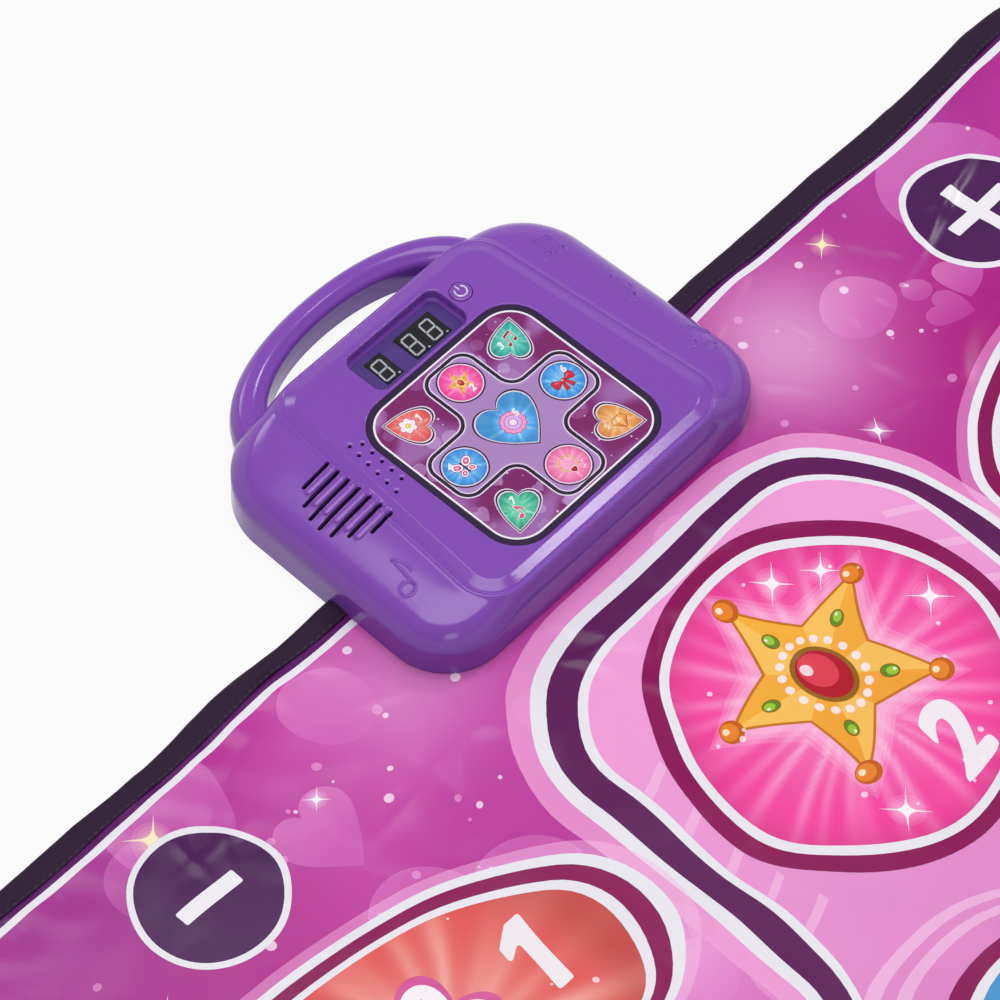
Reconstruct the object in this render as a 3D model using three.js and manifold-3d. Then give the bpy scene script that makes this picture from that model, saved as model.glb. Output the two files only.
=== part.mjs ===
// Electronic dance mat: a floor mat of laminated sheets with eleven step pads, and a carry console
// that is clamped to the mat's far edge. Millimetres, +Z up, the floor at z = 0.
// +X is to the right of a player who faces the console, and +Y points from the player to the handle.
// The origin is on the floor, in the middle of the whole object's length and width.
import * as THREE from "three";
import { mergeVertices } from "three/addons/utils/BufferGeometryUtils.js";
import Module from "manifold-3d";

const wasm = await Module();
wasm.setup();

// Clearances
const clearance = 0.3; // between pieces cut round each other
const padClearance = 0.5; // between a step pad and the sheets round it
const overrun = 2; // how far a cut runs past what it cuts

// Mat sheets, from the floor up
const matMargin = 178; // from the middles of the outer pads to the mat's edge
const matCornerRadius = 24;
const backingThickness = 0.8;
const baseFoamThickness = 1.7;
const contactFilmThickness = 0.3;
const cushionFoamThickness = 2;
const coverThickness = 1.2;
const bindingWidth = 15;
const bindingThickness = 0.6;

// Step pads
const padGap = 45; // from a round pad's side to the middle heart's side
const padRowGap = 115; // from a volume pad's near side to the middles of the first row
const padTravel = 1;
const padStopGap = 0.1; // left under a pad at the end of its travel
const roundPadRadius = 110;
const cornerHeartWidth = 220;
const cornerHeartLength = 249;
const cornerHeartTipReach = 134; // from the pad's middle to the tip
const middleHeartWidth = 284;
const middleHeartLength = 272;
const middleHeartTipReach = 136;
const volumePadRadius = 44;
const volumePadOffset = 24.5; // how far outside the outer pads' middles
const volumePadDrop = 73;

// Console case. Its middle is the middle of the game panel.
const panelToMatEdge = 12; // the mat's far edge lies this far beyond the panel's middle
const caseMiddle = -2.5; // the case's middle, a little left of the panel's
const nearBorder = 15; // from the platform's edge to the case's wall
const farBorder = 14;
const sideNearBorder = 48.5;
const sideFarBorder = 57.5;
const caseNearCornerRadius = 38;
const caseFarCornerRadius = 48;
const caseWall = 2.5;
const caseFloorGap = 0.5;
const caseBeyond = 300; // beyond the case on every side, for cuts that take a whole side away
const wallDraft = 0.6; // how much wider the case is at the floor than at the shoulder
const shoulderHeight = 29.5;
const shoulderRound = 1.2;
const platformHeight = 44;
const platformNearMargin = 1.5; // from the panel's edge to the platform's edge
const platformSideMargin = 23.5;
const platformFarMargin = 2.5; // from the window's edge to the platform's edge
const platformTaper = 13.5; // how much less the platform's half width is at its far end
const platformCornerRadius = 13;
const platformPlate = 3;
const ridgeRun = 8; // from the platform's edge down to the ridge's foot
const ridgeHeight = 2.4;
const ridgeInset = 1;

// Game panel and display window
const panelNearReach = 64.5;
const panelFarReach = 65.5;
const panelHalfWidth = 66.5;
const panelCornerRadius = 24;
const panelRecess = 0.6;
const panelThickness = 1.2;
const panelLedge = 6;
const iconPitch = 41;
const windowLeft = -36;
const windowRight = 38;
const windowMargin = 2.5; // from the panel's edge to the window's
const windowLength = 32;
const windowCornerRadius = 6;
const windowDepth = 8;
const trayWall = 1.2;
const trayFloor = 1.5;
const digitHeight = 19;
const digitDepth = 5.2;
const digitMiddle = 83.2;
const singleDigitWidth = 12.7;
const singleDigitMiddle = -18.7;
const doubleDigitWidth = 28.5;
const doubleDigitMiddle = 13.4;

// Speaker grille, sound holes and power button
const slotCount = 7;
const slotPitch = 8.1;
const slotFirst = 58;
const slotWidth = 2.6;
const slotEndX = 90; // from the panel's middle to the end of each slot beside the platform
const slotReachShares = [0.62, 0.86, 0.97, 1, 0.97, 0.8, 0.5];
const slotLongest = 33;
const soundHoleRadius = 1.2;
const soundHolePitch = 8;
const outerHolesReach = 75; // from the panel's middle to the outer row's first hole
const outerHolesFirst = 56;
const outerHolesStep = 0.9;
const innerHolesReach = 69;
const innerHolesFirst = 52;
const innerHolesStep = 0.5;
const soundHoleRows = [
  { x: -outerHolesReach, y: outerHolesFirst, count: 6, lean: -outerHolesStep },
  { x: -innerHolesReach, y: innerHolesFirst, count: 5, lean: -innerHolesStep },
];
const powerX = 47;
const powerY = 85;
const powerHoleRadius = 7;
const powerCapRadius = 6.6;
const powerCapProud = 0.3;
const powerFlangeRadius = 7.5;
const powerFlangeThickness = 1.2;
const powerFlangeGap = 0.2;
const powerStemRadius = 2.5;
const powerTravel = 0.8;
const powerStopGap = 0.1;

// Carry handle
const handleMiddle = -6;
const handleLegOffset = 90; // from the handle's middle to the middle of each leg
const handleBite = 15.5; // how far the legs reach into the case
const handleStandoff = 32.7; // from the case's wall to the middle of the grip
const handleApexHalfWidth = 9.2;
const handleRootHalfWidth = 12.5;
const handleBottom = 2.4;
const handleTop = 26.5;
const handleWall = 2.6;

// Bottom case, its clamp plate and its screws
const bottomWall = 2;
const bottomPlate = 2;
const rimHeight = 10.9;
const clampPlateThickness = 1.6;
const clampPlateHalfWidth = 120;
const clampPlateNear = 56;
const clampPlateFar = -8;
const clampPlateCornerRadius = 8;
const screwRadius = 1.5;
const screwHeadRadius = 3;
const screwHeadThickness = 0.8;
const screwSink = 0.2; // how far a head lies above the plate's outer face
const screwLength = 22;
const bossRadius = 4;
const outerScrewInset = 8; // from the clamp plate's side to its outer screws
const outerScrewSetback = 14; // from the clamp plate's near edge to its outer screws
const innerScrewInset = 42; // from the clamp plate's side to its inner screws
const innerScrewSetback = 10; // from the clamp plate's far edge to its inner screws
const caseScrewInset = 22; // from the case's far half width to its own screws
const caseScrewSetback = 44.5; // from the case's far wall to its own screws

// Boards and what they carry
const boardThickness = 1.6;
const displayBoardBottom = 29.6;
const displayBoardHalfWidth = 62;
const displayBoardNear = 60;
const displayBoardFar = 101;
const displayBoardCornerRadius = 4;
const postRadius = 3;
const displayPostX = 55;
const displayPostNear = 52;
const displayPostFar = 92;
const lightBoxHalfWidth = 57.5;
const lightCellRadius = 15;
const ledRadius = 2.5;
const ledHeight = 6;
const ledFlangeRadius = 3;
const ledFlangeThickness = 1;
const switchSize = 6;
const switchHeight = 3.5;
const switchPlungerRadius = 1.75;
const switchPlungerHeight = 0.8;
const mainBoardBottom = 12;
const mainBoardLeft = -30;
const mainBoardRight = 50;
const mainBoardNear = -55;
const mainBoardFar = 5;
const mainPostInset = 5;
const mainPostRadius = 2.5;
const chipRadius = 7;
const chipHeight = 2;
const chipTopShare = 0.8;
const chipEdgeShare = 0.7;
const chipX = 0;
const chipY = -30;
const tailX = 30;
const tailWidth = 24;
const tailThickness = 0.3;
const tailTurnY = 19; // how far beyond the panel's middle the tail turns up
const tailBend = 3;
const connectorWidth = 28;
const connectorDepth = 7;
const connectorHeight = 4;

// Speaker
const speakerX = -103;
const speakerY = 33;
const speakerRadius = 20;
const speakerRimTop = 29;
const speakerRimThickness = 2;
const speakerBasketRadius = 17.5;
const speakerBasketDepth = 9;
const speakerThroatRadius = 9;
const speakerMagnetRadius = 11;
const speakerMagnetHeight = 7;
const speakerSheet = 1;

// Batteries, their bay and its door
const batteryCount = 3;
const batteryRadius = 7.1;
const batteryLength = 50;
const batteryNubRadius = 2.7;
const batteryNubLength = 1;
const batteryPitch = 15;
const bayNear = 34.5;
const bayWall = 1.6;
const bayHeight = 18;
const bayEndRoom = 2.6; // room for a contact at each end of the cells
const contactThickness = 0.5;
const contactHeight = 10;
const contactStudRadius = 2;
const doorThickness = 1.6;
const doorFloorGap = 0.4;
const doorGap = 0.4;
const doorTongue = 8;
const doorScrewRadius = 1.2;
const doorScrewHeadRadius = 2.4;
const doorScrewHeadThickness = 0.7;
const doorScrewBite = 2.6; // how far the screw reaches into its boss
const doorBossHalfWidth = 6;
const doorBossHeight = 8;

// Places that follow from the sizes
const padPitch = roundPadRadius + padGap + middleHeartWidth / 2;
const padRowDrop = volumePadDrop + volumePadRadius + padRowGap;
const volumePadSpread = padPitch + volumePadOffset;
const matWidth = 2 * (padPitch + matMargin);
const matLength = panelToMatEdge + padRowDrop + 2 * padPitch + matMargin;
const windowNear = panelFarReach + windowMargin;
const windowFar = windowNear + windowLength;
const platformNearReach = panelNearReach + platformNearMargin;
const platformFarReach = windowFar + platformFarMargin;
const platformNearHalfWidth = panelHalfWidth + platformSideMargin;
const platformFarHalfWidth = platformNearHalfWidth - platformTaper;
const caseNearReach = platformNearReach + nearBorder;
const caseFarReach = platformFarReach + farBorder;
const caseNearHalfWidth = platformNearHalfWidth + sideNearBorder;
const caseFarHalfWidth = platformFarHalfWidth + sideFarBorder;
const outerScrewX = clampPlateHalfWidth - outerScrewInset;
const outerScrewY = clampPlateNear - outerScrewSetback;
const innerScrewX = clampPlateHalfWidth - innerScrewInset;
const innerScrewY = innerScrewSetback - clampPlateFar;
const caseScrewX = caseFarHalfWidth - caseScrewInset;
const caseScrewY = caseFarReach - caseScrewSetback;
const clampScrewPlaces = [
  { x: -outerScrewX, y: -outerScrewY },
  { x: outerScrewX, y: -outerScrewY },
  { x: -innerScrewX, y: -innerScrewY },
  { x: innerScrewX, y: -innerScrewY },
];
const caseScrewPlaces = [
  { x: -caseScrewX, y: caseScrewY },
  { x: caseScrewX, y: caseScrewY },
];
const handleRootReach = caseFarReach - handleBite;
const handleApexReach = caseFarReach + handleStandoff;
const baseFoamZ = backingThickness;
const contactFilmZ = baseFoamZ + baseFoamThickness;
const cushionFoamZ = contactFilmZ + contactFilmThickness;
const coverZ = cushionFoamZ + cushionFoamThickness;
const matTop = coverZ + coverThickness;
const bindingTop = matTop + bindingThickness;
const padZ = cushionFoamZ + padTravel + padStopGap;
const sheetInset = bindingThickness + clearance;
const handleReach = handleApexReach + handleApexHalfWidth;
const handleOverhang = handleReach - panelToMatEdge;
const overallLength = matLength + handleOverhang;
const matFarY = overallLength / 2 - handleOverhang;
const matNearY = matFarY - matLength;
const consoleY = matFarY - panelToMatEdge;
const platformUnderside = platformHeight - platformPlate;
const panelTop = platformHeight - panelRecess;
const panelBottom = panelTop - panelThickness;
const displayBoardTop = displayBoardBottom + boardThickness;
const frontFloorTop = bindingTop + bottomPlate;
const rearFloorTop = bottomPlate;
const trayTopFace = platformHeight - windowDepth;
const trayBottom = trayTopFace - trayFloor;
const screwHeadTop = screwSink + screwHeadThickness;
const mainBoardTop = mainBoardBottom + boardThickness;
const bayHalf = batteryLength / 2 + bayEndRoom;
const bayFar = bayNear + batteryCount * batteryPitch + 2 * doorGap;
const doorFar = bayFar + doorTongue;
const batteryBottom = doorFloorGap + doorThickness + clearance;
const doorScrewY = bayFar + doorTongue / 2;

// Finishes
function finish(color, roughness, metalness = 0) {
  return new THREE.MeshStandardMaterial({ color, roughness, metalness });
}
const purplePlastic = finish(0x8954bc, 0.25);
const darkVioletPlastic = finish(0x46257f, 0.3);
const printedPanel = finish(0xa04a9a, 0.2);
const printedVinyl = finish(0xc83c98, 0.35);
const padVinyl = finish(0xf0559f, 0.35);
const discVinyl = finish(0x52205a, 0.35);
const bindingCloth = finish(0x2d1c3c, 0.8);
const foamSheet = finish(0xe8e6ea, 0.95);
const backingCloth = finish(0x2b2b33, 0.9);
const clearFilm = finish(0xdfe4e2, 0.3);
const circuitBoard = finish(0x1f6b3a, 0.45);
const blackPlastic = finish(0x15161a, 0.4);
const whitePlastic = finish(0xf0f0ee, 0.4);
const steel = finish(0xb8bcc0, 0.3, 1);
const batteryJacket = finish(0x2a5f9e, 0.35, 0.4);
const paperCone = finish(0x222222, 0.9);

// Outlines

// A closed outline with each corner of a polygon rounded by its own radius, counterclockwise.
function roundedOutline(corners, steps) {
  const points = [];
  corners.forEach((corner, i) => {
    const before = corners[(i + corners.length - 1) % corners.length];
    const after = corners[(i + 1) % corners.length];
    const arriving = new THREE.Vector2(corner.x - before.x, corner.y - before.y).normalize();
    const leaving = new THREE.Vector2(after.x - corner.x, after.y - corner.y).normalize();
    const turn = Math.atan2(arriving.cross(leaving), arriving.dot(leaving));
    const run = corner.r * Math.tan(turn / 2);
    const centreX = corner.x - arriving.x * run - arriving.y * corner.r;
    const centreY = corner.y - arriving.y * run + arriving.x * corner.r;
    const from = Math.atan2(-arriving.x, arriving.y);
    for (let k = 0; k <= steps; k++) {
      const angle = from + (turn * k) / steps;
      const spoke = new THREE.Vector2(Math.cos(angle), Math.sin(angle)).multiplyScalar(corner.r);
      points.push(new THREE.Vector2(centreX, centreY).add(spoke));
    }
  });
  return points;
}

// A rectangle with round corners, from its sides' places.
function roundedRectangle(left, right, near, far, radius, steps = 5) {
  const corners = [
    { x: left, y: near, r: radius },
    { x: right, y: near, r: radius },
    { x: right, y: far, r: radius },
    { x: left, y: far, r: radius },
  ];
  return roundedOutline(corners, steps);
}

function rectangle(left, right, near, far) {
  return [
    new THREE.Vector2(left, near),
    new THREE.Vector2(right, near),
    new THREE.Vector2(right, far),
    new THREE.Vector2(left, far),
  ];
}

function circle(x, y, radius, sides) {
  const points = [];
  for (let k = 0; k < sides; k++) {
    const angle = (2 * Math.PI * k) / sides;
    points.push(new THREE.Vector2(x + radius * Math.cos(angle), y + radius * Math.sin(angle)));
  }
  return points;
}

// A heart whose tip points along tipAngle: two round lobes at the back, and two flanks that curve
// from the lobes' outer sides to the tip. The flank's control point lies at shares of the width and
// of the run from the lobes to the tip.
const lobeRadiusShare = 0.265;
const flankAcrossShare = 0.49;
const flankAlongShare = 0.43;
function heart(x, y, width, length, tipReach, tipAngle, steps = 9) {
  const lobe = width * lobeRadiusShare;
  const lobeAcross = width / 2 - lobe;
  const lobeAlong = length - lobe;
  const cleftAngle = Math.PI - Math.acos(lobeAcross / lobe);
  const half = [];
  for (let k = 0; k < steps; k++) {
    const angle = cleftAngle * (1 - k / steps);
    half.push([lobeAcross + lobe * Math.cos(angle), lobeAlong + lobe * Math.sin(angle)]);
  }
  for (let k = 0; k < steps; k++) {
    const t = k / steps;
    const across = (width / 2) * (1 - t) ** 2 + 2 * t * (1 - t) * width * flankAcrossShare;
    const along = lobeAlong * (1 - t) ** 2 + 2 * t * (1 - t) * lobeAlong * (1 - flankAlongShare);
    half.push([across, along]);
  }
  const mirrored = half.slice(1).reverse().map(([across, along]) => [-across, along]);
  const c = Math.cos(tipAngle);
  const s = Math.sin(tipAngle);
  return [...half, [0, 0], ...mirrored].map(([across, along]) => {
    const reach = tipReach - along;
    return new THREE.Vector2(x + reach * c - across * s, y + reach * s + across * c);
  });
}

// Solids

// A flat piece of the outline's shape between two heights.
function slab(outline, bottom, top, holes = []) {
  const shape = new THREE.Shape(outline);
  shape.holes = holes.map((hole) => new THREE.Path(hole));
  const geometry = new THREE.ExtrudeGeometry(shape, { depth: top - bottom, bevelEnabled: false, steps: 1 });
  return geometry.translate(0, 0, bottom);
}

// A closed skin through rings of points that match one to one, with a fan over each end.
function skin(rings) {
  const count = rings[0].length;
  const positions = [];
  rings.forEach((ring) => ring.forEach((p) => positions.push(p.x, p.y, p.z)));
  const ends = [rings[0], rings[rings.length - 1]];
  ends.forEach((ring) => {
    const middle = ring.reduce((sum, p) => sum.add(p), new THREE.Vector3()).divideScalar(count);
    positions.push(middle.x, middle.y, middle.z);
  });
  const index = [];
  for (let r = 0; r + 1 < rings.length; r++) {
    for (let k = 0; k < count; k++) {
      const a = r * count + k;
      const b = r * count + ((k + 1) % count);
      index.push(a, b, b + count, a, b + count, a + count);
    }
  }
  const last = (rings.length - 1) * count;
  const firstMiddle = rings.length * count;
  for (let k = 0; k < count; k++) {
    const next = (k + 1) % count;
    index.push(firstMiddle, next, k, firstMiddle + 1, last + k, last + next);
  }
  const geometry = new THREE.BufferGeometry();
  geometry.setAttribute("position", new THREE.Float32BufferAttribute(positions, 3));
  geometry.setIndex(index);
  return geometry;
}

// A geometry as a solid for cutting and joining.
function solid(geometry) {
  const bare = new THREE.BufferGeometry();
  bare.setAttribute("position", geometry.getAttribute("position"));
  bare.setIndex(geometry.index);
  const merged = mergeVertices(bare);
  const mesh = new wasm.Mesh({
    numProp: 3,
    vertProperties: merged.getAttribute("position").array,
    triVerts: new Uint32Array(merged.index.array),
  });
  return new wasm.Manifold(mesh);
}

function cut(body, geometries) {
  return geometries.reduce((left, geometry) => left.subtract(solid(geometry)), body);
}

function join(body, geometries) {
  return geometries.reduce((whole, geometry) => whole.add(solid(geometry)), body);
}

function geometryOf(body) {
  const mesh = body.getMesh();
  const geometry = new THREE.BufferGeometry();
  geometry.setAttribute("position", new THREE.BufferAttribute(new Float32Array(mesh.vertProperties), 3));
  geometry.setIndex(new THREE.BufferAttribute(new Uint32Array(mesh.triVerts), 1));
  geometry.computeVertexNormals();
  return geometry;
}

const danceMat = new THREE.Group();
const consoleGroup = new THREE.Group();
consoleGroup.position.set(0, consoleY, 0);
danceMat.add(consoleGroup);

function place(group, name, geometry, material) {
  const mesh = new THREE.Mesh(geometry, material);
  mesh.name = name;
  group.add(mesh);
}

// Step pads: where each lies and its outline, grown by a gap
function roundPad(x, y) {
  return (gap) => circle(x, y, roundPadRadius + gap, 36);
}
function cornerHeartPad(x, y, tipAngle) {
  return (gap) =>
    heart(x, y, cornerHeartWidth + 2 * gap, cornerHeartLength + 2 * gap, cornerHeartTipReach + gap, tipAngle);
}
function middleHeartPad(x, y) {
  const tipAngle = -Math.PI / 2;
  return (gap) =>
    heart(x, y, middleHeartWidth + 2 * gap, middleHeartLength + 2 * gap, middleHeartTipReach + gap, tipAngle);
}
function volumePad(x) {
  return (gap) => circle(x, consoleY - volumePadDrop, volumePadRadius + gap, 24);
}

function stepPads() {
  const pads = [];
  for (let row = 0; row < 3; row++) {
    for (let column = 0; column < 3; column++) {
      const x = (column - 1) * padPitch;
      const y = consoleY - padRowDrop - row * padPitch;
      let outline = roundPad(x, y);
      if (row !== 1 && column !== 1) {
        outline = cornerHeartPad(x, y, Math.atan2(1 - row, column - 1));
      }
      if (row === 1 && column === 1) {
        outline = middleHeartPad(x, y);
      }
      pads.push({ name: `pad_${3 * row + column + 1}`, outline, material: padVinyl });
    }
  }
  pads.push({ name: "volume_down_pad", outline: volumePad(-volumePadSpread), material: discVinyl });
  pads.push({ name: "volume_up_pad", outline: volumePad(volumePadSpread), material: discVinyl });
  return pads;
}

function matOutline(inset) {
  return roundedRectangle(
    inset - matWidth / 2,
    matWidth / 2 - inset,
    matNearY + inset,
    matFarY - inset,
    matCornerRadius - inset,
    5,
  );
}

// Holes for the clamp screws, in the mat's own place
function clampHoles() {
  return clampScrewPlaces.map(({ x, y }) => circle(x, y + consoleY, screwRadius + clearance, 8).reverse());
}

function clampPlateOutline(gap) {
  return roundedRectangle(
    -clampPlateHalfWidth - gap,
    clampPlateHalfWidth + gap,
    -clampPlateNear - gap,
    clampPlateFar + gap,
    clampPlateCornerRadius + gap,
    3,
  );
}

// The mat's sheets
function buildMat() {
  const backingInset = bindingWidth + clearance;
  const screwHoles = clampHoles();
  const pads = stepPads();
  const padHoles = pads.map((pad) => pad.outline(padClearance));
  const clampPocket = clampPlateOutline(clearance).map((p) => new THREE.Vector2(p.x, p.y + consoleY));

  const backing = slab(matOutline(backingInset), 0, backingThickness, [clampPocket]);
  place(danceMat, "nonslip_backing", backing, backingCloth);

  const baseFoam = solid(slab(matOutline(sheetInset), baseFoamZ, contactFilmZ, screwHoles));
  const pocket = slab(clampPocket, 0, clampPlateThickness);
  place(danceMat, "base_foam", geometryOf(cut(baseFoam, [pocket])), foamSheet);

  const film = slab(matOutline(sheetInset), contactFilmZ, cushionFoamZ, screwHoles);
  place(danceMat, "contact_film", film, clearFilm);
  const cushion = slab(matOutline(sheetInset), cushionFoamZ, coverZ, [...padHoles, ...screwHoles]);
  place(danceMat, "cushion_foam", cushion, foamSheet);
  const cover = slab(matOutline(sheetInset), coverZ, matTop, [...padHoles, ...screwHoles]);
  place(danceMat, "mat_cover", cover, printedVinyl);
  pads.forEach(({ name, outline, material }) => {
    place(danceMat, name, slab(outline(0), padZ, matTop), material);
  });
}

// The folded cloth tape round the mat's edge, open where the membrane's tail comes out
function buildBinding() {
  const outside = solid(slab(matOutline(0), 0, bindingTop));
  const sheets = slab(matOutline(bindingThickness), backingThickness, matTop);
  const middle = slab(matOutline(bindingWidth), -overrun, bindingTop + overrun);
  const slitHalf = tailWidth / 2 + clearance;
  const slit = slab(
    rectangle(tailX - slitHalf, tailX + slitHalf, matFarY - sheetInset - overrun, matFarY + overrun),
    contactFilmZ - clearance,
    cushionFoamZ + clearance,
  );
  place(danceMat, "edge_binding", geometryOf(cut(outside, [sheets, middle, slit])), bindingCloth);
}

// Console case

function caseOutline(inset) {
  const near = caseNearHalfWidth - inset;
  const far = caseFarHalfWidth - inset;
  return roundedOutline(
    [
      { x: caseMiddle - near, y: -caseNearReach + inset, r: caseNearCornerRadius - inset },
      { x: caseMiddle + near, y: -caseNearReach + inset, r: caseNearCornerRadius - inset },
      { x: caseMiddle + far, y: caseFarReach - inset, r: caseFarCornerRadius - inset },
      { x: caseMiddle - far, y: caseFarReach - inset, r: caseFarCornerRadius - inset },
    ],
    8,
  );
}

function platformOutline(inset) {
  return roundedOutline(
    [
      { x: -platformNearHalfWidth + inset, y: -platformNearReach + inset, r: platformCornerRadius - inset },
      { x: platformNearHalfWidth - inset, y: -platformNearReach + inset, r: platformCornerRadius - inset },
      { x: platformFarHalfWidth - inset, y: platformFarReach - inset, r: platformCornerRadius - inset },
      { x: -platformFarHalfWidth + inset, y: platformFarReach - inset, r: platformCornerRadius - inset },
    ],
    8,
  );
}

function ring(outline, height) {
  return outline.map((p) => new THREE.Vector3(p.x, p.y, height));
}

// The case's skin from the floor over the shoulder and the crowned border to the platform.
// The border runs from the shoulder to the ridge, and rises as 1 - (1 - share)^2.
const borderShares = [0.1, 0.28, 0.5, 0.75];
function caseSkin(wallInset, platformInset, bottom, drop) {
  const shoulder = caseOutline(wallInset);
  const ridge = platformOutline(platformInset - ridgeRun);
  const ridgeFoot = platformHeight - ridgeHeight;
  const rings = [
    ring(caseOutline(wallInset - wallDraft), bottom),
    ring(shoulder, shoulderHeight - shoulderRound - drop),
    ring(caseOutline(wallInset + shoulderRound), shoulderHeight - drop),
  ];
  borderShares.forEach((share) => {
    const rise = 1 - (1 - share) ** 2;
    const height = shoulderHeight + (ridgeFoot - shoulderHeight) * rise - drop;
    rings.push(shoulder.map((p, k) => new THREE.Vector3(p.x, p.y, height).lerp(
      new THREE.Vector3(ridge[k].x, ridge[k].y, height), share)));
  });
  rings.push(ring(ridge, ridgeFoot - drop));
  rings.push(ring(platformOutline(platformInset), platformHeight - drop));
  return skin(rings);
}

// The handle as a tube along half an ellipse that is a little squared, wider at its roots. Growth
// thickens it all round, and the extension lengthens both its roots.
const handleBendShare = 0.952; // the power of its sine and cosine, as a share of a plain ellipse's
const handleStations = 18;
function handleTube(growth, extension) {
  const bend = handleApexReach - handleRootReach;
  const centre = (turn) => {
    const across = Math.sign(Math.cos(turn)) * Math.abs(Math.cos(turn)) ** handleBendShare;
    const outward = Math.abs(Math.sin(turn)) ** handleBendShare;
    return new THREE.Vector2(handleMiddle - handleLegOffset * across, handleRootReach + bend * outward);
  };
  const stop = 0.02;
  const rings = [];
  for (let k = 0; k <= handleStations; k++) {
    const turn = (Math.PI * k) / handleStations;
    const here = centre(turn);
    const before = centre(Math.max(turn - stop, 0));
    const after = centre(Math.min(turn + stop, Math.PI));
    const along = after.clone().sub(before).normalize();
    if (k === 0 || k === handleStations) {
      along.set(0, k === 0 ? 1 : -1);
      here.y -= extension;
    }
    const share = Math.abs(Math.cos(turn)) ** 2;
    const half = handleApexHalfWidth + (handleRootHalfWidth - handleApexHalfWidth) * share + growth;
    rings.push(handleSection(here, along, half, growth));
  }
  return skin(rings);
}

// A section with rounded corners, as shares of its half width and half height.
const handleSectionShares = [
  [1, -0.35], [1, 0.25], [0.82, 0.74], [0.45, 1], [-0.5, 1], [-0.84, 0.82], [-1, 0.4], [-1, -0.45],
  [-0.74, -0.86], [-0.4, -1], [0.4, -1], [0.76, -0.84],
];
function handleSection(middle, along, half, growth) {
  const halfHeight = (handleTop - handleBottom) / 2 + growth;
  const middleHeight = (handleTop + handleBottom) / 2;
  return handleSectionShares.map(([acrossShare, upShare]) => new THREE.Vector3(
    middle.x - along.y * acrossShare * half,
    middle.y + along.x * acrossShare * half,
    middleHeight + upShare * halfHeight,
  ));
}

function panelOutline(gap) {
  return roundedRectangle(
    -panelHalfWidth + gap,
    panelHalfWidth - gap,
    -panelNearReach + gap,
    panelFarReach - gap,
    panelCornerRadius - gap,
    6,
  );
}

function windowOutline(gap) {
  return roundedRectangle(
    windowLeft - gap,
    windowRight + gap,
    windowNear - gap,
    windowFar + gap,
    windowCornerRadius + gap,
    4,
  );
}

function buildTopCase() {
  const outer = solid(caseSkin(0, 0, caseFloorGap, 0));
  const inner = solid(caseSkin(caseWall, ridgeInset, caseFloorGap - overrun, platformPlate));
  const boss = (bottom) => ({ x, y }) => solid(slab(circle(x, y, bossRadius, 12), bottom, platformHeight));
  const bosses = [...clampScrewPlaces.map(boss(frontFloorTop)), ...caseScrewPlaces.map(boss(rearFloorTop))];
  const shell = bosses.reduce((whole, post) => whole.add(post.intersect(outer)), outer.subtract(inner));

  const bores = [...clampScrewPlaces, ...caseScrewPlaces].map(({ x, y }) =>
    slab(circle(x, y, screwRadius + clearance, 8), 0, clampPlateThickness + screwLength + clearance),
  );
  const tools = [
    ...bores,
    slab(
      rectangle(-caseBeyond, caseBeyond, -caseBeyond, panelToMatEdge + clearance),
      -overrun,
      bindingTop + clearance,
    ),
    handleTube(clearance, overrun),
    slab(panelOutline(0), panelBottom, platformHeight + overrun),
    slab(panelOutline(panelLedge), platformUnderside - overrun, platformHeight),
    slab(windowOutline(0), platformUnderside - overrun, platformHeight + overrun),
    slab(circle(powerX, powerY, powerHoleRadius, 20), platformUnderside - overrun, platformHeight + overrun),
    ...soundHoles(),
    ...speakerSlots(),
  ];
  place(consoleGroup, "top_case", geometryOf(cut(shell, tools)), purplePlastic);
}

function soundHoles() {
  const holes = [];
  soundHoleRows.forEach(({ x, y, count, lean }) => {
    for (let k = 0; k < count; k++) {
      const outline = circle(x + k * lean, y - k * soundHolePitch, soundHoleRadius, 6);
      holes.push(slab(outline, platformUnderside - overrun, platformHeight + overrun));
    }
  });
  return holes;
}

function speakerSlots() {
  const slots = [];
  for (let k = 0; k < slotCount; k++) {
    const y = slotFirst - k * slotPitch;
    const reach = slotReachShares[k] * slotLongest;
    const inner = -slotEndX;
    const outline = rectangle(inner - reach, inner, y - slotWidth / 2, y + slotWidth / 2);
    slots.push(slab(outline, shoulderHeight - platformPlate - overrun, platformHeight + overrun));
  }
  return slots;
}

function buildHandle() {
  const outer = solid(handleTube(0, 0));
  const bore = handleTube(-handleWall, overrun);
  place(consoleGroup, "carry_handle", geometryOf(cut(outer, [bore])), purplePlastic);
}

// Bottom case: a plate over the mat's edge in front, and a deeper tray that stands on the floor behind

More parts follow.
